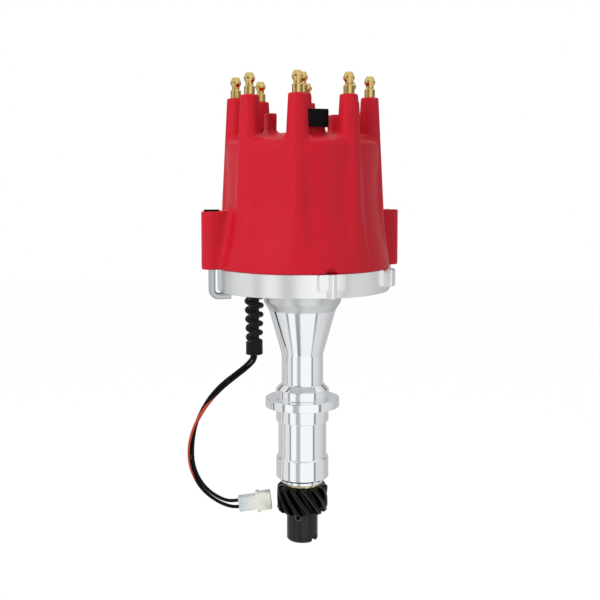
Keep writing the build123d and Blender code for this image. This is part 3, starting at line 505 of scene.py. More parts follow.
@dataclass(frozen=True)
class TracerFinish(Finish):
    """Wire insulation with one coloured stripe along the middle of the mesh's UV width."""

    stripe_colour: str = "#B8452C"
    stripe_share: float = 0.4

    def paint(self, tree: bpy.types.NodeTree, shader: bpy.types.Node, cloud: bpy.types.NodeSocket) -> None:
        """Show the stripe where V is near one half.

        Args:
            tree: Node tree of the material.
            shader: Its shader node.
            cloud: Cloudy pattern from 0 to 1.
        """
        split = add_node(tree, "ShaderNodeSeparateXYZ", {0: add_node(tree, "ShaderNodeUVMap").outputs[0]})
        away = add_node(tree, "ShaderNodeMath", {0: split.outputs[1], 1: 0.5}, operation="SUBTRACT")
        width = add_node(tree, "ShaderNodeMath", {0: away.outputs[0]}, operation="ABSOLUTE")
        half, soft = self.stripe_share / 2, 0.02
        edge = add_node(
            tree, "ShaderNodeMapRange",
            {"Value": width.outputs[0], 1: half - soft, 2: half + soft, 3: 1.0, 4: 0.0},
        )
        mix = add_node(
            tree, "ShaderNodeMix",
            {0: edge.outputs[0], 6: srgb(self.colour), 7: srgb(self.stripe_colour)}, data_type="RGBA",
        )
        tree.links.new(mix.outputs[2], shader.inputs["Base Color"])


class Look(Enum):
    """Every finish of the distributor, named for the real material."""

    # Bright mirror with pale bands of the studio and faint turning rings.
    ALUMINIUM = TurnedFinish(
        "polished turned aluminium", "#F8F9FA", 0.10, 1.0, mottle=0.02, mottle_mm=12, grain=0.05,
        grain_mm=0.35, rough_swing=0.03,
    )
    # Matt under the bowl, which sets it off from the bright cone; its greyer colour is painted shade from the
    # bowl above.
    THROAT = TurnedFinish("machined aluminium, painted shade", "#E2E3E3", 0.34, 1.0, grain=0.10, grain_mm=0.3, mottle=0.05)
    # Pale satin wall with soft broad reflections.
    BOWL = TurnedFinish("satin turned aluminium", "#FBFBF9", 0.31, 1.0, grain=0.10, grain_mm=0.3, mottle=0.05)
    # Warm yellow line between shank and gear.
    BRONZE = TurnedFinish(
        "sintered bronze", "#F0D9A4", 0.34, 1.0, mottle=0.08, mottle_mm=3, grain=0.08, grain_mm=0.3
    )
    # Clean grey metal of the inner parts.
    STEEL = Finish("ground steel", "#B9BBBE", 0.25, 1.0, mottle=0.04, mottle_mm=5, grain=0.05, grain_mm=0.4)
    # Slightly bluish grey rods and springs.
    ZINC = Finish("zinc plated steel", "#C6CACE", 0.24, 1.0, mottle_mm=4, grain=0.06, grain_mm=0.6)
    # Near black teeth with a thin grey line along one edge of each crest, partly wear and partly a painted
    # highlight.
    BLACK_OXIDE = WearAndHighlightFinish(
        "black oxide gear steel", "#0A0A0B", 0.27, 0.6, mottle=0.1, mottle_mm=4, grain=0.1, specular=0.3
    )
    # Dark brownish grey below the teeth, with dull streaks of light.
    HUB = WearAndHighlightFinish(
        "black oxide hub steel", "#232323", 0.27, 0.75, mottle=0.1, mottle_mm=5, grain=0.12,
        wear_and_highlight_colour="#4A443E",
    )
    # Saturated red with little gloss and a fine moulded grain.
    CAP = Finish(
        "red moulded polyester", "#C51529", 0.45, mottle=0.08, mottle_mm=1.4, grain=0.25, grain_mm=0.6,
        specular=0.22,
    )
    # Pale gold with darker upright bands.
    BRASS = TurnedFinish("turned brass", "#E6C67C", 0.21, 1.0, mottle=0.03, mottle_mm=3, rough_swing=0.03)
    # Flat black without highlights.
    BLACK_PLASTIC = Finish(
        "black glass filled nylon", "#080809", 0.45, mottle=0.1, mottle_mm=3, grain=0.15, grain_mm=0.3,
        specular=0.1,
    )
    # Dull dark grey.
    CARBON = Finish("pressed carbon", "#1C1C1D", 0.6, mottle=0.1, mottle_mm=2, grain=0.15, grain_mm=0.3)
    # Black with soft grey lights on each turn of the winding.
    RUBBER = Finish(
        "black moulded rubber", "#0B0B0C", 0.45, mottle=0.12, mottle_mm=4, grain=0.2, grain_mm=0.4,
        rough_swing=0.08, specular=0.2,
    )
    # Black with a faint line of light along the wire.
    WIRE = Finish(
        "black vinyl insulation", "#0A0A0C", 0.5, mottle=0.1, grain=0.08, grain_mm=0.6, rough_swing=0.06,
        specular=0.14,
    )
    # The same black with a dull orange stripe that winds round to the back.
    TRACER = TracerFinish(
        "black vinyl with orange tracer", "#0A0A0C", 0.5, mottle=0.1, grain=0.08, grain_mm=0.6,
        rough_swing=0.06, specular=0.14,
    )
    # Milky white that turns bluish towards the wires.
    NYLON = WearAndHighlightFinish(
        "natural nylon", "#E6E6DB", 0.38, mottle=0.02, mottle_mm=4, grain=0.05, wear_and_highlight_colour="#B4C2D0"
    )
    # Dark grey ring of the roll pin.
    SPRING_STEEL = Finish(
        "hardened spring steel", "#5C5956", 0.35, 0.9, mottle=0.1, mottle_mm=2, grain=0.05, grain_mm=0.4
    )


class Palette:
    """Makes each finish once and gives it out."""

    def __init__(self) -> None:
        """Start with no materials made."""
        self.made: dict[Look, bpy.types.Material] = {}

    def get(self, look: Look) -> bpy.types.Material:
        """Material of a finish.

        Args:
            look: Which finish.

        Returns:
            Its material, the same one each time.
        """
        if look not in self.made:
            self.made[look] = look.value.make()
        return self.made[look]

    def dress(self, piece: bpy.types.Object, *looks: Look) -> None:
        """Give a piece its finishes in the order of its material numbers.

        Args:
            piece: Piece to dress.
            looks: Its finishes.
        """
        piece.data.materials.clear()
        for look in looks:
            piece.data.materials.append(self.get(look))


# Geometry Nodes


def start_tree(name: str, sockets: list[tuple[str, str]]) -> bpy.types.GeometryNodeTree:
    """Start a node group with named inputs and one geometry output.

    Args:
        name: Name of the group.
        sockets: Name and socket type of each input.

    Returns:
        The group, holding its input and output nodes only.
    """
    tree = bpy.data.node_groups.new(name, "GeometryNodeTree")
    for label, kind in sockets:
        tree.interface.new_socket(label, in_out="INPUT", socket_type=kind)
    tree.interface.new_socket("Geometry", in_out="OUTPUT", socket_type="NodeSocketGeometry")
    add_node(tree, "NodeGroupInput", name="given")
    add_node(tree, "NodeGroupOutput", name="result")
    return tree


def finish_tree(tree: bpy.types.GeometryNodeTree, shape: bpy.types.NodeSocket) -> None:
    """End a node group: real geometry and the given material.

    Args:
        tree: Node group to end.
        shape: Output that holds its geometry.
    """
    given = tree.nodes["given"].outputs
    real = add_node(tree, "GeometryNodeRealizeInstances", {0: shape})
    paint = add_node(
        tree, "GeometryNodeSetMaterial", {"Geometry": real.outputs[0], "Material": given["Material"]}
    )
    tree.links.new(paint.outputs[0], tree.nodes["result"].inputs[0])


def polar_copies_tree() -> bpy.types.GeometryNodeTree:
    """Copies of a mesh in a ring round the Z axis.

    Returns:
        A group with the inputs Geometry, Count, First (radians) and Material.
    """
    tree = start_tree("polar copies", [
        ("Geometry", "NodeSocketGeometry"), ("Count", "NodeSocketInt"),
        ("First", "NodeSocketFloat"), ("Material", "NodeSocketMaterial"),
    ])
    given = tree.nodes["given"].outputs
    points = add_node(tree, "GeometryNodePoints", {"Count": given["Count"]})
    step = add_node(tree, "ShaderNodeMath", {0: math.tau, 1: given["Count"]}, operation="DIVIDE")
    index = add_node(tree, "GeometryNodeInputIndex")
    angle = add_node(
        tree, "ShaderNodeMath", {0: index.outputs[0], 1: step.outputs[0], 2: given["First"]},
        operation="MULTIPLY_ADD",
    )
    turn = add_node(tree, "ShaderNodeCombineXYZ", {2: angle.outputs[0]})
    copies = add_node(tree, "GeometryNodeInstanceOnPoints", {
        "Points": points.outputs[0], "Instance": given["Geometry"], "Rotation": turn.outputs[0],
    })
    finish_tree(tree, copies.outputs[0])
    return tree


def spiral_strand_tree() -> bpy.types.GeometryNodeTree:
    """Round strand wound up the Z axis from one radius to another.

    Returns:
        A group with the inputs Turns, Low Radius, High Radius, Height, Strand and Material.
    """
    tree = start_tree("spiral strand", [
        ("Turns", "NodeSocketFloat"), ("Low Radius", "NodeSocketFloat"), ("High Radius", "NodeSocketFloat"),
        ("Height", "NodeSocketFloat"), ("Strand", "NodeSocketFloat"), ("Material", "NodeSocketMaterial"),
    ])
    given = tree.nodes["given"].outputs
    path = add_node(tree, "GeometryNodeCurveSpiral", {
        "Resolution": 56, "Rotations": given["Turns"], "Start Radius": given["Low Radius"],
        "End Radius": given["High Radius"], "Height": given["Height"],
    })
    ring = add_node(tree, "GeometryNodeCurvePrimitiveCircle", {"Resolution": 18, "Radius": given["Strand"]})
    body = add_node(tree, "GeometryNodeCurveToMesh", {
        "Curve": path.outputs[0], "Profile Curve": ring.outputs[0], "Fill Caps": True,
    })
    finish_tree(tree, body.outputs[0])
    return tree


def grow(
    name: str, mesh: bpy.types.Mesh, tree: bpy.types.GeometryNodeTree, values: dict[str, object]
) -> bpy.types.Mesh:
    """Run a node group on a mesh and keep the plain result.

    Args:
        name: Name of the result.
        mesh: Mesh handed to the group.
        tree: Node group to run.
        values: Input name to value.

    Returns:
        The resulting mesh.
    """
    holder = bpy.data.objects.new(name, mesh)
    bpy.context.scene.collection.objects.link(holder)
    modifier = holder.modifiers.new("nodes", "NODES")
    modifier.node_group = tree
    for item in tree.interface.items_tree:
        if item.in_out == "INPUT" and item.name in values:
            modifier[item.identifier] = values[item.name]
    holder.update_tag()
    apply_modifiers(holder)
    result = holder.data
    bpy.data.objects.remove(holder)
    return result


# Rods and wires


def arc_route(points: list[Vector], bend: float, steps: int = 8) -> list[Vector]:
    """Round the inner corners of a route with bends of one radius.

    Args:
        points: Corner points, in metres.
        bend: Bend radius, in metres.
        steps: Number of pieces in each bend.

    Returns:
        The points of the rounded route.
    """
    route = [points[0]]
    for before, here, after in zip(points, points[1:], points[2:]):
        back = (before - here).normalized()
        ahead = (after - here).normalized()
        reach = bend / math.tan(back.angle(ahead) / 2)
        middle = here + (back + ahead).normalized() * (bend / math.sin(back.angle(ahead) / 2))
        first = here + back * reach - middle
        last = here + ahead * reach - middle
        swing = first.angle(last)
        for step in range(steps + 1):
            t = step / steps
            arm = (first * math.sin((1 - t) * swing) + last * math.sin(t * swing)) / math.sin(swing)
            route.append(middle + arm)
    route.append(points[-1])
    return route


def tube_mesh(
    name: str, path: list[Vector], radius: float, roll: Callable[[float], float] | None = None,
    sides: int = 20,
) -> bpy.types.Mesh:
    """Round tube along a path, with a UV map of length (millimetres) by way round.

    Args:
        name: Name of the mesh.
        path: Points of the path, in metres.
        radius: Radius of the tube, in metres.
        roll: Length along the path in millimetres to a share of a turn, added to the way round.
        sides: Number of faces round.

    Returns:
        The closed tube.
    """
    verts, faces, ways = [], [], []
    length = 0.0
    for index, here in enumerate(path):
        ahead = path[min(index + 1, len(path) - 1)] - path[max(index - 1, 0)]
        side = ahead.cross(Vector((0, 1, 0))).normalized()
        front = side.cross(ahead).normalized()
        length += (here - path[index - 1]).length / MM if index else 0.0
        for k in range(sides):
            angle = math.tau * k / sides
            verts.append(here + (front * math.cos(angle) + side * math.sin(angle)) * radius)
        ways.append((length, roll(length) if roll else 0.0))
    for row in range(len(path) - 1):
        for k in range(sides):
            after = (k + 1) % sides
            low, high = row * sides, (row + 1) * sides
            faces.append((low + k, low + after, high + after, high + k))
    faces.append(tuple(range(sides)))
    faces.append(tuple(range(len(verts) - sides, len(verts))))
    mesh = bpy.data.meshes.new(name)
    mesh.from_pydata(verts, [], faces)
    layer = mesh.uv_layers.new(name="UVMap")
    for face in mesh.polygons[:-2]:
        row, k = divmod(face.index, sides)
        for corner, (dr, dk) in zip(face.loop_indices, ((0, 0), (0, 1), (1, 1), (1, 0))):
            length, turn = ways[row + dr]
            layer.data[corner].uv = (length, (k + dk) / sides + turn)
    return mesh


def nurbs_path(name: str, route_mm: list[Point]) -> list[Vector]:
    """Read the points of a smooth NURBS spline laid on a route.

    Args:
        name: Name of the spline's object.
        route_mm: Control points, in millimetres.

    Returns:
        Points along the spline, in metres.
    """
    curve = bpy.data.curves.new(name, "CURVE")
    curve.dimensions = "3D"
    curve.resolution_u = 10
    spline = curve.splines.new("NURBS")
    spline.points.add(len(route_mm) - 1)
    for point, place in zip(spline.points, route_mm):
        point.co = (*(c * MM for c in place), 1.0)
    spline.order_u = 3
    spline.use_endpoint_u = True
    holder = bpy.data.objects.new(name, curve)
    bpy.context.scene.collection.objects.link(holder)
    graph = bpy.context.evaluated_depsgraph_get()
    mesh = bpy.data.meshes.new_from_object(holder.evaluated_get(graph))
    path = [v.co.copy() for v in mesh.vertices]
    bpy.data.objects.remove(holder)
    return path


def tracer_roll(length: float) -> float:
    """Turn of the tracer stripe about its wire: at the front in the middle stretch, behind at both ends.

    Args:
        length: Way along the wire, in millimetres.

    Returns:
        Share of a turn to add.
    """
    return float(np.interp(length, (30, 38, 48, 60, 92, 104), (0.5, 0.27, 0.0, -0.13, -0.18, -0.5)))


# Points on the middle line of each wire, in millimetres, from the strain relief to the connector.
PLAIN_ROUTE = [
    (-30.8, -6.3, 33.4), (-30.8, -6.3, 31.4), (-32.6, -6.3, 28.9), (-36.1, -6.3, 25.5), (-42.0, -6.3, 20.9),
    (-49.3, -6.1, 15.2), (-55.9, -5.7, 8.3), (-61.1, -5.2, 0.5), (-65.4, -5.0, -8.6), (-67.5, -5.3, -17.8),
    (-68.3, -6.1, -26.7), (-67.8, -6.3, -35.2), (-65.5, -6.3, -42.5), (-61.6, -6.3, -49.0),
    (-56.4, -6.3, -54.0), (-51.4, -6.3, -57.0), (-46.9, -6.3, -58.8), (-42.1, -6.3, -58.9),
    (-37.2, -6.3, -58.2),
]
TRACER_ROUTE = [
    (-28.8, -6.3, 33.4), (-28.8, -6.3, 30.5), (-30.9, -6.3, 27.5), (-34.7, -6.3, 24.0), (-40.7, -6.3, 19.3),
    (-47.9, -6.4, 13.6), (-54.5, -6.7, 7.2), (-60.3, -7.0, -0.1), (-65.4, -7.1, -8.6), (-68.8, -6.9, -17.5),
    (-70.4, -6.4, -26.5), (-69.9, -6.3, -35.5), (-67.4, -6.3, -43.3), (-63.3, -6.3, -50.4),
    (-57.8, -6.3, -55.8), (-51.9, -6.3, -59.7), (-46.8, -6.3, -61.9), (-41.6, -6.3, -63.0),
    (-36.4, -6.3, -62.2),
]


# Sub-assemblies

# Directions and the level that several of them share, in degrees and millimetres.
TOWER_AZIMUTH = 265.9
LEFT_AZIMUTH = 198.4
RIGHT_AZIMUTH = 18.4
KEY_AZIMUTH = 288.4
RIM_Z = 87.0


@dataclass(frozen=True)
class Housing:
    """Turned body with bowl, key, pad and clamp ear; millimetres, azimuths in degrees."""

    bore_r: float = 8.0
    nose_r: float = 13.0
    land_r: float = 16.3
    shank_r: float = 14.95
    pilot_r: float = 16.35
    collar_r: float = 23.0
    boss_r: float = 16.55
    neck_r: float = 12.9
    cone_r: float = 20.9
    throat_r: float = 24.0
    bowl_r: float = 52.4
    bowl_inner_r: float = 48.4
    nose_z: float = -48.1
    land_low_z: float = -45.5
    land_high_z: float = -31.75
    land_chamfer: float = 1.2
    step_chamfer: float = 0.5
    pilot_z: float = -9.25
    seat_z: float = 0.0
    collar_z: float = 5.4
    boss_z: float = 10.75
    neck_low_z: float = 14.4
    neck_high_z: float = 32.6
    cone_z: float = 60.8
    throat_z: float = 65.6
    bowl_z: float = 72.9
    floor_z: float = 77.0
    rim_z: float = RIM_Z
    key_azimuth: float = KEY_AZIMUTH
    key_width: float = 5.6
    key_proud: float = 3.4
    pad_width: float = 16.8
    pad_height: float = 9.5
    pad_proud: float = 1.9
    pad_depth: float = 6.0
    ear_azimuth: float = 343.0
    ear_width: float = 10.0
    ear_reach: float = 5.1
    ear_root: float = 2.0
    ear_height: float = 10.5
    ear_hole_r: float = 2.1
    ear_hole_out: float = 0.4
    ear_hole_half: float = 9.0
    finish_edge: float = 0.4

    def outline(self) -> Profile:
        """Lay out the turned form, from the nose at the gear up to the bowl and down its bore.

        Returns:
            The closed outline.
        """
        step = self.step_chamfer
        return rounded_outline([
            (self.bore_r, self.nose_z, 0.3), (self.nose_r, self.nose_z, 0.5),
            (self.nose_r, self.land_low_z, 0.4),
            (self.land_r - self.land_chamfer, self.land_low_z, 0.3),
            (self.land_r, self.land_low_z + self.land_chamfer, 0.4),
            (self.land_r, self.land_high_z - step, 0.3), (self.land_r - step, self.land_high_z, 0.2),
            (self.shank_r, self.land_high_z, 0.5), (self.shank_r, self.pilot_z, 0.6),
            (self.pilot_r - step, self.pilot_z, 0.2), (self.pilot_r, self.pilot_z + step, 0.3),
            (self.pilot_r, self.seat_z, 0.4), (self.collar_r, self.seat_z, 0.5),
            (self.collar_r, self.collar_z, 0.6), (self.boss_r, self.collar_z, 0.5),
            (self.boss_r, self.boss_z, 0.8), (self.neck_r, self.neck_low_z, 1.5),
            (self.neck_r, self.neck_high_z, 6.0), (self.cone_r, self.cone_z, 5.0),
            (self.throat_r, self.throat_z, 2.5), (self.throat_r, self.bowl_z, 1.2),
            (self.bowl_r, self.bowl_z, 1.1), (self.bowl_r, self.rim_z, 0.5),
            (self.bowl_inner_r, self.rim_z, 0.4), (self.bowl_inner_r, self.floor_z, 1.0),
            (self.bore_r, self.floor_z, 0.4),
        ], closed=True)

    def key(self) -> bpy.types.Mesh:
        """Make the upright half-round key on the bowl's wall.

        Returns:
            The key, in place.
        """
        half, radius = (self.rim_z - self.bowl_z) / 2, self.key_width / 2
        mesh = lathe_mesh("key", rounded_outline([
            (0, -half, 0), (radius, -half, 0.5), (radius, half, 0.4), (0, half, 0),
        ]), 48)
        reach = self.bowl_r + self.key_proud - radius
        mesh.transform(upright(reach, self.key_azimuth, (self.rim_z + self.bowl_z) / 2))
        return mesh

    def pad(self) -> bpy.types.Mesh:
        """Make the flat pad behind the key.

        Returns:
            The pad, in place.
        """
        reach = self.bowl_r + self.pad_proud - self.pad_depth / 2
        place = upright(reach, self.key_azimuth, self.rim_z - self.pad_height / 2)
        return rounded_block("pad", (self.pad_depth, self.pad_width, self.pad_height), 0.6, place)

    def ear(self) -> bpy.types.Mesh:
        """Make the clamp ear and cut its hole.

        Returns:
            The ear, in place.
        """
        size = (self.ear_reach + self.ear_root, self.ear_width, self.ear_height)
        level = self.rim_z - self.ear_height / 2
        place = upright(self.bowl_r + self.ear_reach - size[0] / 2, self.ear_azimuth, level)
        ear = new_piece("ear", rounded_block("ear", size, 1.0, place))
        radius, half = self.ear_hole_r, self.ear_hole_half
        hole = lathe_mesh("hole", [(0, -half), (radius, -half), (radius, half), (0, half)], 32)
        reach = self.bowl_r + self.ear_reach / 2 + self.ear_hole_out
        hole.transform(upright(reach, self.ear_azimuth, level))
        cut(ear, hole)
        mesh = ear.data
        bpy.data.objects.remove(ear)
        return mesh

    def build(self, palette: Palette) -> None:
        """Join the body with its fittings and finish it in three bands.

        Args:
            palette: Source of the materials.
        """
        body = lathe_mesh("housing_body", self.outline(), 192, closed=True)
        mesh = join_meshes("housing_body", [body, self.key(), self.pad(), self.ear()])
        piece = new_piece("housing_body", mesh, 30)
        palette.dress(piece, Look.ALUMINIUM, Look.THROAT, Look.BOWL)
        # The middle band, under the bowl, takes the greyer finish, whose colour is painted shade.
        throat, bowl = self.cone_z - self.finish_edge, self.bowl_z + self.finish_edge
        for face in piece.data.polygons:
            level = face.center.z / MM
            face.material_index = int(level > throat) + int(level > bowl)
        settle(piece, "housing", ["housing"])


@dataclass(frozen=True)
class Cap:
    """Moulded cap with ribs under its towers; millimetres, azimuths in degrees."""

    grid: float = 0.75
    tower_azimuth: float = TOWER_AZIMUTH
    tower_step: float = 45.0
    post_azimuths: tuple[float, float] = (RIGHT_AZIMUTH, LEFT_AZIMUTH)
    post_r: float = 23.75
    post_shift: float = 3.3
    roof_z: float = 162.0
    inner_roof_z: float = 160.5
    rim_z: float = RIM_Z
    middle_wall_r: float = 48.5
    wall_lean: float = 0.052
    outer_limit_r: float = 54.5
    rib_half_width: float = 6.4

    def build(self, palette: Palette) -> None:
        """Remesh the solid's own surface, round its inner corners and sink the walls between the ribs.

        Args:
            palette: Source of the materials.
        """
        piece = new_piece("cap_moulding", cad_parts["distributor_cap"].data.copy())
        remesh = piece.modifiers.new("remesh", "REMESH")
        remesh.mode = "VOXEL"
        remesh.voxel_size = self.grid * MM
        smooth = piece.modifiers.new("smooth", "SMOOTH")
        smooth.factor = 0.5
        smooth.iterations = 5
        apply_modifiers(piece)
        self.draw_in_posts(piece.data)
        fill_corners(piece.data, self.grid * MM, self.outside(points_of(piece.data)))
        self.sink_walls(piece.data)
        thin = piece.modifiers.new("thin", "DECIMATE")
        thin.ratio = 0.5
        apply_modifiers(piece)
        piece.data.shade_smooth()
        palette.dress(piece, Look.CAP)
        settle(piece, "housing", ["distributor_cap"])

    def middle_wall(self, level: np.ndarray) -> np.ndarray:
        """Radius half way through the leaning wall at each level."""
        return self.middle_wall_r - (level - self.rim_z) * self.wall_lean

    def outside(self, place: np.ndarray) -> np.ndarray:
        """Find the points on the outside of the wall and on the roof.

        Args:
            place: Points of the remeshed cap, in metres.

        Returns:
            Whether each point lies there.
        """
        level = place[:, 2] / MM
        radius = np.hypot(place[:, 0], place[:, 1]) / MM
        return (radius > self.middle_wall(level)) | (level > self.inner_roof_z)

    def draw_in_posts(self, mesh: bpy.types.Mesh) -> None:
        """Move the two plain roof posts towards the axis.

        Args:
            mesh: Remeshed cap.
        """
        place = points_of(mesh)
        rise = np.clip((place[:, 2] / MM - self.roof_z) / 3.0, 0, 1)
        start = place[:, :2].copy() / MM
        for azimuth in self.post_azimuths:
            way = np.array([math.cos(math.radians(azimuth)), math.sin(math.radians(azimuth))])
            out = np.interp(start @ way - self.post_r, (-13, -3.2, 3.2, 10), (0, 1, 1, 0))
            across = np.interp(np.abs(start @ np.array([-way[1], way[0]])), (6.6, 10), (1, 0))
            place[:, :2] -= (out * across * rise * self.post_shift * MM)[:, None] * way
        mesh.vertices.foreach_set("co", place.ravel())
        mesh.update()

    def sink_walls(self, mesh: bpy.types.Mesh) -> None:
        """Sink the wall between the ribs, most at middle height.

        Args:
            mesh: Cap with rounded inner corners.
        """
        place = points_of(mesh)
        level = place[:, 2] / MM
        radius = np.hypot(place[:, 0], place[:, 1]) / MM
        half = self.tower_step / 2
        turn = np.degrees(np.arctan2(place[:, 1], place[:, 0])) - self.tower_azimuth
        side = np.radians((turn + half) % self.tower_step - half) * radius
        depth = np.interp(level, (90, 97, 106, 128, 144, 158), (0.0, 0.5, 1.5, 2.0, 1.3, 0.0))
        form = np.exp(-((side / self.rib_half_width) ** 4)) - 1.0
        outside = np.clip((radius - self.middle_wall(level)) / 0.8, 0, 1) * (radius < self.outer_limit_r)
        grown = 1 + depth * form * outside / np.maximum(radius, 1.0)
        place[:, :2] *= grown[:, None]
        mesh.vertices.foreach_set("co", place.ravel())
        mesh.update()


@dataclass(frozen=True)
class Terminals:
    """Brass studs on the towers; millimetres, azimuth in degrees."""

    circle_r: float = 40.9
    plug_count: int = 8
    first_azimuth: float = TOWER_AZIMUTH
    plug_seat_z: float = 190.0
    coil_seat_z: float = 193.3
    root_r: float = 2.6
    shank_r: float = 3.15
    waist_r: float = 2.3
    bulb_r: float = 3.35
    tip_r: float = 2.0

    def outline(self, bottom: float, seat: float) -> Profile:
        """Outline of one stud from its root to its tip.

        Args:
            bottom: Level of the root.
            seat: Level of the tower's top.

        Returns:
            Its radius and level at each point.
        """
        return rounded_outline([
            (0, bottom, 0), (self.root_r, bottom, 0.4), (self.root_r, seat, 0),
            (self.shank_r, seat, 0.2), (self.shank_r, seat + 4.8, 0.6),
            (self.waist_r, seat + 5.4, 0.4), (self.waist_r, seat + 6.8, 0.8),
            (self.bulb_r, seat + 8.6, 2.2), (self.bulb_r, seat + 9.8, 2.8),
            (self.waist_r, seat + 12.2, 0.6), (self.tip_r, seat + 12.7, 0.3), (0, seat + 12.7, 0),
        ])

    def build(self, palette: Palette) -> None:
        """Set the plug studs by polar copies, and one taller stud on the centre tower.

        Args:
            palette: Source of the materials.
        """
        copies = polar_copies_tree()
        for name, node, radius, seat, count in (
            ("plug_studs", "plug_terminals", self.circle_r, self.plug_seat_z, self.plug_count),
            ("coil_stud", "coil_terminal", 0.0, self.coil_seat_z, 1),
        ):
            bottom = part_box(node)[0].z / MM
            stud = lathe_mesh(name, self.outline(bottom, seat), 40)
            stud.shade_smooth()
            stud.transform(Matrix.Translation((radius * MM, 0, 0)))
            mesh = grow(name, stud, copies, {
                "Count": count, "First": math.radians(self.first_azimuth),
                "Material": palette.get(Look.BRASS),
            })
            settle(new_piece(name, mesh, 50), "housing", [node])


@dataclass(frozen=True)
class StrainRelief:
    """Rubber boot of the wires: collar under the bowl, wound strand round a core, end ring; millimetres."""

    x: float = -29.54
    y: float = -6.28
    ring_low_z: float = 33.4
    ring_high_z: float = 41.4
    ring_low_r: float = 5.2
    ring_high_r: float = 5.1
    ring_bore_r: float = 2.6
    collar_low_z: float = 69.5
    collar_step_z: float = 72.85
    collar_r: float = 6.2
    collar_neck_r: float = 4.4
    collar_bore_r: float = 3.2
    core_r: float = 3.0
    core_bore_r: float = 2.45
    core_low_z: float = 40.0
    core_high_z: float = 71.0
    turns: float = 5.2
    winding_low_r: float = 3.45
    winding_high_r: float = 4.4
    winding_low_z: float = 41.3
    winding_height: float = 29.0
    strand_r: float = 1.75

    def ring(self, name: str, corners: list[Corner], segments: int = 64) -> bpy.types.Mesh:
        """Turn one closed ring.

        Args:
            name: Name of the mesh.
            corners: Closed outline with corner radii, in millimetres.
            segments: Number of faces round.

        Returns:
            The ring.
        """
        return lathe_mesh(name, rounded_outline(corners, closed=True), segments, closed=True)

    def build(self, palette: Palette) -> None:
        """Join the four forms and put them in place.

        Args:
            palette: Source of the materials.
        """
        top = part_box("strain_relief")[1].z / MM
        collar = self.ring("collar", [
            (self.collar_bore_r, self.collar_low_z, 0.3), (self.collar_r, self.collar_low_z, 0.8),
            (self.collar_r, self.collar_step_z, 0.3), (self.collar_neck_r, self.collar_step_z, 0.1),
            (self.collar_neck_r, top, 0.4), (self.collar_bore_r, top, 0.2),
        ])
        ring = self.ring("ring", [
            (self.ring_bore_r, self.ring_low_z, 0.4), (self.ring_low_r, self.ring_low_z, 0.6),
            (self.ring_high_r, self.ring_high_z, 0.6), (self.ring_bore_r, self.ring_high_z, 0.4),
        ])
        winding = grow("winding", bpy.data.meshes.new("winding"), spiral_strand_tree(), {
            "Turns": self.turns, "Low Radius": self.winding_low_r * MM,
            "High Radius": self.winding_high_r * MM, "Height": self.winding_height * MM,
            "Strand": self.strand_r * MM, "Material": palette.get(Look.RUBBER),
        })
        winding.transform(Matrix.Translation((0, 0, self.winding_low_z * MM)))
        core = self.ring("core", [
            (self.core_bore_r, self.core_low_z, 0.1), (self.core_r, self.core_low_z, 0.1),
            (self.core_r, self.core_high_z, 0.1), (self.core_bore_r, self.core_high_z, 0.1),
        ], 48)
        mesh = join_meshes("strain_relief_boot", [collar, ring, winding, core])
        mesh.transform(Matrix.Translation(Vector((self.x, self.y, 0)) * MM))
        piece = new_piece("strain_relief_boot", mesh, 40)
        palette.dress(piece, Look.RUBBER)
        piece.visible_glossy = False
        settle(piece, "housing", ["strain_relief"])


@dataclass(frozen=True)
class Latches:
    """Two bent rods that hook under the bowl, each with a slotted head in its lug; millimetres, degrees."""

    left_azimuth: float = LEFT_AZIMUTH
    right_azimuth: float = RIGHT_AZIMUTH
    stand_r: float = 57.2
    hook_reach: float = 11.5
    hook_z: float = 70.7
    rod_top_z: float = 119.2
    rod_r: float = 2.1
    bend_r: float = 4.0
    head_r: float = 4.3
    head_low_z: float = 119.0
    head_high_z: float = 121.6
    slot_size: tuple[float, float, float] = (9.5, 1.2, 2.4)

    def build(self, palette: Palette) -> None:
        """Make both rods; their springs come with the small parts.

        Args:
            palette: Source of the materials.
        """
        for side, azimuth in (("left", self.left_azimuth), ("right", self.right_azimuth)):
            self.rod(palette, side, azimuth)

    def rod(self, palette: Palette, side: str, azimuth: float) -> None:
        """Make one rod with its head.

        Args:
            palette: Source of the materials.
            side: Left or right.
            azimuth: Where it stands round the bowl.
        """
        stand = self.stand_r
        foot = [
            Vector((stand - self.hook_reach, 0, self.hook_z)) * MM, Vector((stand, 0, self.hook_z)) * MM,
            Vector((stand, 0, self.rod_top_z)) * MM,
        ]
        rod = tube_mesh("rod", arc_route(foot, self.bend_r * MM, 10), self.rod_r * MM, sides=28)
        head = lathe_mesh("head", rounded_outline([
            (0, self.head_low_z, 0), (self.head_r, self.head_low_z, 0.3),
            (self.head_r, self.head_high_z, 0.5), (0, self.head_high_z, 0),
        ]), 48)
        head.transform(Matrix.Translation((stand * MM, 0, 0)))
        mesh = join_meshes("latch", [rod, head])
        mesh.transform(upright(0, azimuth, 0))
        piece = new_piece(f"latch_{side}_rod", mesh, 40)
        slot = rounded_block("slot", self.slot_size, 0.1, upright(stand, azimuth, self.head_high_z))
        cut(piece, slot)
        piece.data.shade_smooth()
        piece.data.set_sharp_from_angle(angle=math.radians(35))
        palette.dress(piece, Look.ZINC, Look.BLACK_OXIDE)
        for face in piece.data.polygons:
            face.material_index = int(face.center.z > (self.head_low_z - 0.1) * MM)
        settle(piece, f"latch_{side}", [f"latch_{side}"])


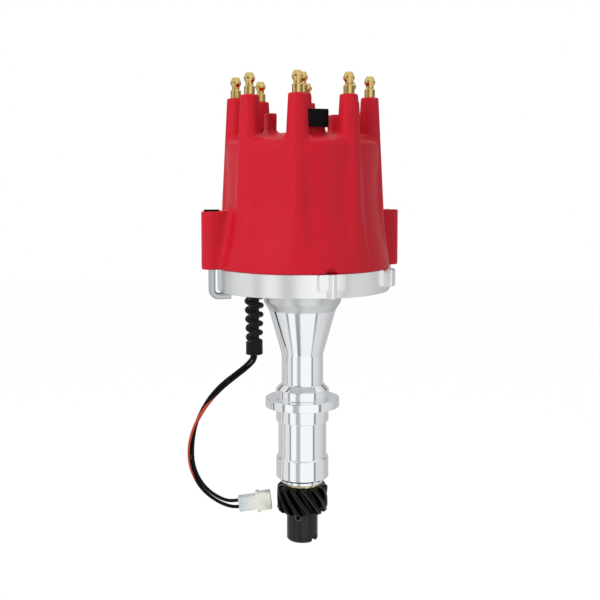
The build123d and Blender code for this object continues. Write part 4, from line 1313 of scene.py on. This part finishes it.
@dataclass(frozen=True)
class DriveGear:
    """Helical gear with rounded teeth, a grey line of wear and painted highlight along its crests, and its
    slotted hub; millimetres, degrees.
    """

    teeth: int = 13
    helix: float = 38.0
    tip_r: float = 15.85
    depth: float = 3.8
    top_z: float = -50.15
    low_z: float = -66.35
    chamfer: float = 1.2
    crest_half: float = 1.0
    flank_width: float = 1.75
    face_inner_r: float = 6.0
    columns_per_tooth: int = 32
    rows: int = 28
    # Place and width of the crest line of wear and painted highlight, and its share on the trailing edge.
    crest_line_out: float = 0.05
    crest_line_width: float = 0.2
    trailing_highlight_share: float = 0.3
    face_wear: float = 0.25
    hub_wear: float = 0.35
    hub_overlap: float = 0.3
    hub_r: float = 9.7
    hub_bore_r: float = 5.9
    hub_low_z: float = -85.15
    hub_chamfer: float = 1.0
    slot_size: tuple[float, float, float] = (40, 5.2, 8.8)
    slot_azimuth: float = 324.0
    pin_hole_r: float = 2.4
    pin_hole_half: float = 20.0
    pin_azimuth: float = 253.0
    pin_z: float = -69.15

    def build(self, palette: Palette) -> None:
        """Make the toothed ring and the hub.

        Args:
            palette: Source of the materials.
        """
        ring = new_piece("gear_teeth", self.toothed_ring(), 48)
        palette.dress(ring, Look.BLACK_OXIDE)
        settle(ring, "shaft", ["drive_gear"])
        hub = self.hub()
        palette.dress(hub, Look.HUB)
        settle(hub, "shaft", ["drive_gear"])

    def toothed_ring(self) -> bpy.types.Mesh:
        """Sweep the tooth form along the helix and close both faces.

        Returns:
            The ring, with an attribute that is high along one edge of each crest, where a painted highlight
            is mixed with wear.
        """
        lead = math.tan(math.radians(self.helix)) / self.tip_r
        columns = self.teeth * self.columns_per_tooth
        verts, wear_and_highlight, faces = [], [], []
        for row in range(self.rows + 1):
            z = self.low_z + (self.top_z - self.low_z) * row / self.rows
            edge = min(z - self.low_z, self.top_z - z)
            limit = self.tip_r - max(0.0, self.chamfer - edge)
            for k in range(columns):
                phase = (k * self.teeth / columns) % 1.0
                away = abs(phase - 0.5) * math.tau * self.tip_r / self.teeth
                flank = min(1.0, max(0.0, (away - self.crest_half) / self.flank_width))
                r = min(self.tip_r - self.depth * (flank * flank * (3 - 2 * flank)), limit)
                turn = math.tau * k / columns - lead * (z - self.low_z)
                verts.append((r * math.cos(turn) * MM, r * math.sin(turn) * MM, z * MM))
                # Painted highlight with wear: full on the leading edge of each crest, weaker on the trailing
                # one, as the light falls.
                share = 1.0 if phase < 0.5 else self.trailing_highlight_share
                line = (away - self.crest_half - self.crest_line_out) / self.crest_line_width
                wear_and_highlight.append(share * math.exp(-line ** 2))
        for row in range(self.rows):
            low, high = row * columns, (row + 1) * columns
            for k in range(columns):
                after = (k + 1) % columns
                faces.append((low + k, low + after, high + after, high + k))
        for row, z in ((0, self.low_z), (self.rows, self.top_z)):
            first = len(verts)
            for k in range(columns):
                x, y, _ = verts[row * columns + k]
                angle = math.atan2(y, x)
                inner = self.face_inner_r * MM
                verts.append((inner * math.cos(angle), inner * math.sin(angle), z * MM))
                wear_and_highlight.append(self.face_wear)
            for k in range(columns):
                after = (k + 1) % columns
                faces.append((row * columns + k, row * columns + after, first + after, first + k))
        mesh = bpy.data.meshes.new("gear_teeth")
        mesh.from_pydata(verts, [], faces)
        mesh.attributes.new("wear_and_highlight", "FLOAT", "POINT").data.foreach_set("value", wear_and_highlight)
        return mesh

    def hub(self) -> bpy.types.Object:
        """Turn the hub, cut its drive slot and the hole of the roll pin.

        Returns:
            The hub, evenly worn.
        """
        low, high = self.hub_low_z, self.low_z + self.hub_overlap
        hub = new_piece("gear_hub", lathe_mesh("gear_hub", rounded_outline([
            (self.hub_bore_r, low, 0.2), (self.hub_r - self.hub_chamfer, low, 0.3),
            (self.hub_r, low + self.hub_chamfer, 0.4), (self.hub_r, high, 0.5), (self.hub_bore_r, high, 0.1),
        ], closed=True), 96, closed=True))
        slot = rounded_block("slot", self.slot_size, 0.2, upright(0, self.slot_azimuth, low))
        cut(hub, slot)
        radius, half = self.pin_hole_r, self.pin_hole_half
        cross = lathe_mesh("cross", [(0, -half), (radius, -half), (radius, half), (0, half)], 40)
        cross.transform(upright(0, self.pin_azimuth, self.pin_z) @ Matrix.Rotation(math.pi / 2, 4, "Y"))
        cut(hub, cross)
        hub.data.shade_smooth()
        hub.data.set_sharp_from_angle(angle=math.radians(30))
        wear_and_highlight = hub.data.attributes.new("wear_and_highlight", "FLOAT", "POINT")
        wear_and_highlight.data.foreach_set("value", [self.hub_wear] * len(hub.data.vertices))
        return hub


def copied(
    palette: Palette, name: str, node: str, body: str, look: Look, angle: float = 32.0
) -> bpy.types.Object:
    """Copy of a small solid with merged corners and smooth faces.

    Args:
        palette: Source of the materials.
        name: Name of the piece.
        node: Solid to copy and to stand for.
        body: Body that it rides on.
        look: Finish.
        angle: Edges sharper than this stay sharp, in degrees.

    Returns:
        The copy.
    """
    piece = new_piece(name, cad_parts[node].data.copy(), angle)
    palette.dress(piece, look)
    settle(piece, body, [node])
    return piece


@dataclass(frozen=True)
class SmallParts:
    """Roof clip, advance springs, roll pin, thrust washer and latch springs; millimetres, degrees."""

    clip_azimuth: float = KEY_AZIMUTH
    clip_share: float = 0.87
    post_r: float = 9.4
    post_azimuth: float = 315.0
    pin_r: float = 21.0
    pin_azimuth: float = 28.0
    washer_bore_r: float = 8.2
    washer_r: float = 11.25
    washer_low_z: float = -50.0
    washer_high_z: float = -48.1

    def build(self, palette: Palette) -> None:
        """Make every small part.

        Args:
            palette: Source of the materials.
        """
        clip = copied(palette, "roof_clip_shell", "roof_clip", "housing", Look.BLACK_PLASTIC)
        across = upright(0, self.clip_azimuth, 0)
        clip.data.transform(across @ Matrix.Diagonal((1, self.clip_share, 1, 1)) @ across.inverted())
        for side, turn in (("a", 0.0), ("b", 180.0)):
            self.advance_spring(palette, side)
        copied(palette, "roll_pin_rod", "gear_roll_pin", "shaft", Look.SPRING_STEEL)
        self.washer(palette)
        for side in ("left", "right"):
            copied(
                palette, f"latch_{side}_coil", f"latch_spring_{side}", f"latch_{side}",
                Look.ZINC, 50,
            )

    def washer(self, palette: Palette) -> None:
        """Turn the bronze washer between housing and gear.

        Args:
            palette: Source of the materials.
        """
        low, high = self.washer_low_z, self.washer_high_z
        outline = rounded_outline([
            (self.washer_bore_r, low, 0.2), (self.washer_r, low, 0.4), (self.washer_r, high, 0.4),
            (self.washer_bore_r, high, 0.2),
        ], closed=True)
        piece = new_piece("washer_bronze", lathe_mesh("washer_bronze", outline, 128, closed=True))
        palette.dress(piece, Look.BRONZE)
        settle(piece, "housing", ["bronze_thrust_washer"])

    def advance_spring(self, palette: Palette, side: str) -> None:
        """Copy of the tension spring between a cam post and a weight pin, as its solid stands.

        Args:
            palette: Source of the materials.
            side: Letter of the spring.
        """
        node = f"advance_spring_{side}"
        piece = new_piece(node + "_coil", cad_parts[node].data.copy(), 40)
        palette.dress(piece, Look.STEEL)
        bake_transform(piece)
        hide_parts(node)
        LOG.info("%s stretches from the shaft to the rotor carrier", piece.name)


@dataclass(frozen=True)
class Harness:
    """Connector with its contacts, and the two wires that hold it; millimetres."""

    drawn_r: float = 1.05
    wire_d: float = 2.2
    fade_x: float = -28.0
    fade_length: float = 7.0

    def build(self, palette: Palette) -> None:
        """Make the connector and draw both wires as tubes.

        Args:
            palette: Source of the materials.
        """
        shell = copied(palette, "connector_body", "connector_shell", "housing", Look.NYLON)
        fade = [max(0.0, self.fade_x - v.co.x / MM) / self.fade_length for v in shell.data.vertices]
        wear_and_highlight = shell.data.attributes.new("wear_and_highlight", "FLOAT", "POINT")
        wear_and_highlight.data.foreach_set("value", [min(1.0, share) for share in fade])
        pins = copied(palette, "connector_pins", "connector_contacts", "housing", Look.BRASS)
        plain = self.wire(palette, "wire_plain", PLAIN_ROUTE, Look.WIRE)
        tracer = self.wire(palette, "wire_tracer", TRACER_ROUTE, Look.TRACER)

    def wire(
        self, palette: Palette, name: str, route: list[Point], look: Look
    ) -> tuple[bpy.types.Object, list[Vector]]:
        """Draw one wire along its route.

        Args:
            palette: Source of the materials.
            name: Solid that it stands for.
            route: Points of the route, in millimetres.
            look: Finish.

        Returns:
            The wire and the points of its smooth path, in metres.
        """
        path = nurbs_path(name + "_line", route)
        piece = new_piece(name + "_lead", tube_mesh(name, path, self.drawn_r * MM, tracer_roll))
        palette.dress(piece, look)
        settle(piece, "housing", [name])
        return piece, path


# Studio and camera


@dataclass(frozen=True)
class Shot:
    """Camera of the photograph; lengths in metres, the pitch in degrees downwards."""

    distance: float = 0.6065
    height: float = 0.1427
    aside: float = -0.00147
    lens_mm: float = 59.14
    sensor_mm: float = 36.0
    shift_y: float = -0.08
    pitch: float = 4.409

    def place(self) -> None:
        """Add the camera to the scene."""
        data = bpy.data.cameras.new("photo camera")
        data.lens = self.lens_mm
        data.sensor_width = self.sensor_mm
        data.shift_y = self.shift_y
        data.clip_start = 0.01
        camera = bpy.data.objects.new("photo camera", data)
        camera.location = (self.aside, -self.distance, self.height)
        camera.rotation_euler = (math.radians(90 - self.pitch), 0, 0)
        bpy.context.scene.collection.objects.link(camera)
        bpy.context.scene.camera = camera


@dataclass(frozen=True)
class Softbox:
    """One area light; metres, watts, and the point that it faces."""

    name: str
    place: Point
    aim: Point
    size: tuple[float, float]
    power: float

    def put(self) -> None:
        """Add the light to the scene."""
        data = bpy.data.lights.new(self.name, "AREA")
        data.shape = "RECTANGLE"
        data.size, data.size_y = self.size
        data.energy = self.power
        lamp = bpy.data.objects.new(self.name, data)
        lamp.location = self.place
        lamp.rotation_euler = (Vector(self.aim) - Vector(self.place)).to_track_quat("-Z", "Y").to_euler()
        bpy.context.scene.collection.objects.link(lamp)
        lamp.visible_glossy = False


@dataclass(frozen=True)
class Studio:
    """White studio with soft light from both sides and dark gaps that polished metal mirrors; metres."""

    # Direction from the camera side in degrees, and how bright a mirror finds it there.
    far_gaps: Gaps = (
        (-180, 0.55), (-118, 0.62), (-113, 0.42), (-108, 0.70), (-66, 0.84), (-62, 0.30), (-57, 0.30),
        (-54, 1.0), (-30, 1.0), (-27, 0.48), (-11, 0.54), (-8, 1.0), (50, 1.0), (53, 0.22), (58, 0.22),
        (61, 0.76), (95, 0.70), (120, 0.54), (180, 0.55),
    )
    # The same for the floor close to the part, which the cone mirrors.
    near_gaps: Gaps = (
        (-180, 0.72), (-66, 0.80), (-62, 0.66), (-57, 0.66), (-54, 1.0), (-30, 1.0), (-27, 0.22),
        (-11, 0.28), (-8, 0.92), (50, 0.92), (54, 0.76), (95, 0.78), (180, 0.72),
    )
    # Distance at which the near floor starts to give way to the far one, and where it has done so.
    near_end: float = 0.40
    far_start: float = 0.52
    floor_half: float = 3.0
    floor_z: float = -0.25
    floor_glow: float = 1.03
    # Part of the floor's white that is its own; the rest takes light and shadow.
    floor_own: float = 0.94
    # Upward share of a direction where the gaps start to fade, where they have faded, and how far.
    fade_low: float = 0.35
    fade_high: float = 0.8
    fade: float = 0.85
    world_light: float = 0.45
    # First and last direction of each grey card, from the camera side in degrees, and its top.
    cards: tuple[Point, ...] = ((-165, -105, 0.29), (-50, -8, 0.75), (62, 165, 0.29))
    card_away: float = 0.55
    card_low: float = 0.19
    card_steps: int = 8
    lights: tuple[Softbox, ...] = (
        Softbox("key", (-0.70, -0.85, 0.55), (0, 0, 0.08), (0.7, 0.7), 8.0),
        Softbox("fill", (0.9, -0.5, 0.35), (0, 0, 0.06), (0.6, 0.9), 1.5),
        Softbox("top", (0.0, 0.1, 1.0), (0, 0, 0.1), (0.8, 0.8), 3.0),
    )

    def build(self) -> None:
        """Set the world, the floor, the cards and the lights."""
        self.set_world()
        self.put_floor()
        self.put_cards()
        for light in self.lights:
            light.put()

    def set_world(self) -> None:
        """White for the camera, white with dark gaps for mirrors, a little grey for the light itself."""
        world = bpy.data.worlds.new("studio")
        bpy.context.scene.world = world
        world.use_nodes = True
        tree = world.node_tree
        tree.nodes.clear()
        rays = add_node(tree, "ShaderNodeLightPath").outputs
        way = add_node(tree, "ShaderNodeTexCoord").outputs["Generated"]
        lift = add_node(tree, "ShaderNodeSeparateXYZ", {0: way}).outputs[2]
        high = add_node(tree, "ShaderNodeMapRange", {
            "Value": lift, 1: self.fade_low, 2: self.fade_high, 3: 0.0, 4: self.fade,
        })
        gaps = add_node(tree, "ShaderNodeMix", {
            0: high.outputs[0], 6: self.gap_colour(tree, way, self.far_gaps), 7: srgb("#F6F7F8"),
        }, data_type="RGBA")
        mirror = add_node(tree, "ShaderNodeBackground", {0: gaps.outputs[2], 1: 1.0})
        plain = add_node(tree, "ShaderNodeBackground", {0: srgb("#FFFFFF"), 1: 1.0})
        light = add_node(tree, "ShaderNodeBackground", {0: srgb("#FFFFFF"), 1: self.world_light})
        lit = add_node(tree, "ShaderNodeMixShader", {
            0: rays["Is Glossy Ray"], 1: light.outputs[0], 2: mirror.outputs[0],
        })
        whole = add_node(tree, "ShaderNodeMixShader", {
            0: self.seen(tree, rays), 1: lit.outputs[0], 2: plain.outputs[0],
        })
        add_node(tree, "ShaderNodeOutputWorld", {0: whole.outputs[0]})

    def seen(self, tree: bpy.types.NodeTree, rays: bpy.types.NodeOutputs) -> bpy.types.NodeSocket:
        """One where the camera looks, straight or through glass.

        Args:
            tree: Node tree to add to.
            rays: Outputs of its Light Path node.

        Returns:
            The share, zero or one.
        """
        return add_node(tree, "ShaderNodeMath", {
            0: rays["Is Camera Ray"], 1: rays["Is Transmission Ray"],
        }, operation="MAXIMUM").outputs[0]

    def gap_colour(
        self, tree: bpy.types.NodeTree, place: bpy.types.NodeSocket, gaps: Gaps
    ) -> bpy.types.NodeSocket:
        """Brightness that a mirror finds in each direction round the part.

        Args:
            tree: Node tree to add to.
            place: Direction, or a point on the floor.
            gaps: Direction in degrees and brightness there.

        Returns:
            The colour there.
        """
        way = add_node(tree, "ShaderNodeSeparateXYZ", {0: place})
        front = add_node(tree, "ShaderNodeMath", {0: way.outputs[1], 1: -1.0}, operation="MULTIPLY")
        angle = add_node(tree, "ShaderNodeMath", {
            0: way.outputs[0], 1: front.outputs[0],
        }, operation="ARCTAN2")
        share = add_node(tree, "ShaderNodeMapRange", {"Value": angle.outputs[0], 1: -math.pi, 2: math.pi})
        ramp = add_node(tree, "ShaderNodeValToRGB", {0: share.outputs[0]})
        stops = ramp.color_ramp.elements
        while len(stops) < len(gaps):
            stops.new(0.5)
        for stop, (degrees, grey) in zip(stops, gaps):
            stop.position = degrees / 360 + 0.5
            stop.color = (grey * 0.97, grey * 0.985, grey, 1.0)
        return ramp.outputs[0]

    def bare_material(self, name: str) -> bpy.types.Material:
        """Start a material without any node.

        Args:
            name: Name of the material.

        Returns:
            The empty material.
        """
        material = bpy.data.materials.new(name)
        material.use_nodes = True
        material.node_tree.nodes.clear()
        return material

    def set_piece(
        self, name: str, verts: list[Point], faces: list[tuple[int, ...]], material: bpy.types.Material
    ) -> bpy.types.Object:
        """Put a mesh of the studio into the scene.

        Args:
            name: Name of the mesh.
            verts: Its points.
            faces: Its faces.
            material: Its material.

        Returns:
            The object.
        """
        mesh = bpy.data.meshes.new(name)
        mesh.from_pydata(verts, [], faces)
        mesh.materials.append(material)
        piece = bpy.data.objects.new(name, mesh)
        bpy.context.scene.collection.objects.link(piece)
        return piece

    def put_floor(self) -> None:
        """Pale floor well below the part, nearly as white as the background."""
        material = self.bare_material("white sweep")
        tree = material.node_tree
        rays = add_node(tree, "ShaderNodeLightPath").outputs
        place = add_node(tree, "ShaderNodeNewGeometry").outputs["Position"]
        matt = add_node(tree, "ShaderNodeBsdfDiffuse", {0: srgb("#F4F4F4")})
        glow = add_node(tree, "ShaderNodeEmission", {0: srgb("#FFFFFF"), 1: self.floor_glow})
        far = add_node(tree, "ShaderNodeVectorMath", {0: place}, operation="LENGTH").outputs["Value"]
        near = add_node(tree, "ShaderNodeMapRange", {
            "Value": far, 1: self.near_end, 2: self.far_start, 3: 1.0, 4: 0.0,
        })
        gaps = add_node(tree, "ShaderNodeMix", {
            0: near.outputs[0], 6: self.gap_colour(tree, place, self.far_gaps),
            7: self.gap_colour(tree, place, self.near_gaps),
        }, data_type="RGBA")
        mirror = add_node(tree, "ShaderNodeEmission", {0: gaps.outputs[2], 1: 1.0})
        share = add_node(tree, "ShaderNodeMath", {
            0: self.seen(tree, rays), 1: self.floor_own,
        }, operation="MULTIPLY")
        plain = add_node(tree, "ShaderNodeMixShader", {
            0: share.outputs[0], 1: matt.outputs[0], 2: glow.outputs[0],
        })
        whole = add_node(tree, "ShaderNodeMixShader", {
            0: rays["Is Glossy Ray"], 1: plain.outputs[0], 2: mirror.outputs[0],
        })
        add_node(tree, "ShaderNodeOutputMaterial", {0: whole.outputs[0]})
        half, level = self.floor_half, self.floor_z
        corners = [(-half, -half, level), (half, -half, level), (half, half, level), (-half, half, level)]
        floor = self.set_piece("floor", corners, [(0, 1, 2, 3)], material)

    def put_cards(self) -> None:
        """Grey cards high up round the part, seen only in what shines, most of all in the brass studs."""
        material = self.bare_material("grey card")
        tree = material.node_tree
        grey = add_node(tree, "ShaderNodeEmission", {0: srgb("#75767A"), 1: 1.0})
        add_node(tree, "ShaderNodeOutputMaterial", {0: grey.outputs[0]})
        verts, faces = [], []
        for first, last, high in self.cards:
            for step in range(self.card_steps + 1):
                turn = math.radians(first + (last - first) * step / self.card_steps)
                for level in (self.card_low, high):
                    verts.append((self.card_away * math.sin(turn), -self.card_away * math.cos(turn), level))
                if step:
                    end = len(verts)
                    faces.append((end - 4, end - 2, end - 1, end - 3))
        cards = self.set_piece("cards", verts, faces, material)
        cards.visible_camera = False
        cards.visible_diffuse = False
        cards.visible_shadow = False
        cards.visible_transmission = False


# Solids that stay as they are, with the finish of each.
KEPT = {
    Look.STEEL: [
        "shaft", "reluctor", "weight_plate", "weight_pins", "weight_clips", "advance_cam", "weight_a",
        "weight_b", "pickup_plate", "pickup_pole", "pickup_screws", "rotor_screws", "upper_thrust_washer",
        "brush_spring", "carrier_sleeve", "rotor_standoffs",
    ],
    Look.BRONZE: ["lower_bush", "upper_bush"],
    Look.BLACK_PLASTIC: ["pickup_coil", "rotor"],
    Look.BRASS: ["rotor_blade"],
    Look.CARBON: ["carbon_brush"],
    Look.WIRE: ["pickup_leads"],
}


def dress_kept(palette: Palette) -> None:
    """Give every solid that stays its procedural finish.

    Args:
        palette: Source of the materials.
    """
    for look, names in KEPT.items():
        for name in names:
            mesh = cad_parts[name].data
            mesh.materials.clear()
            mesh.materials.append(palette.get(look))


def main() -> None:
    """Dress the kept solids, build the sub-assemblies, set studio and camera."""
    logging.basicConfig(level=logging.INFO, format="%(name)s: %(message)s")
    palette = Palette()
    dress_kept(palette)
    for group in (
        Housing(), Cap(), Terminals(), StrainRelief(), Latches(), DriveGear(), SmallParts(), Harness(),
    ):
        group.build(palette)
    Studio().build()
    Shot().place()
    scene = bpy.context.scene
    scene.view_settings.view_transform = "Standard"


if __name__ == "__main__":
    main()
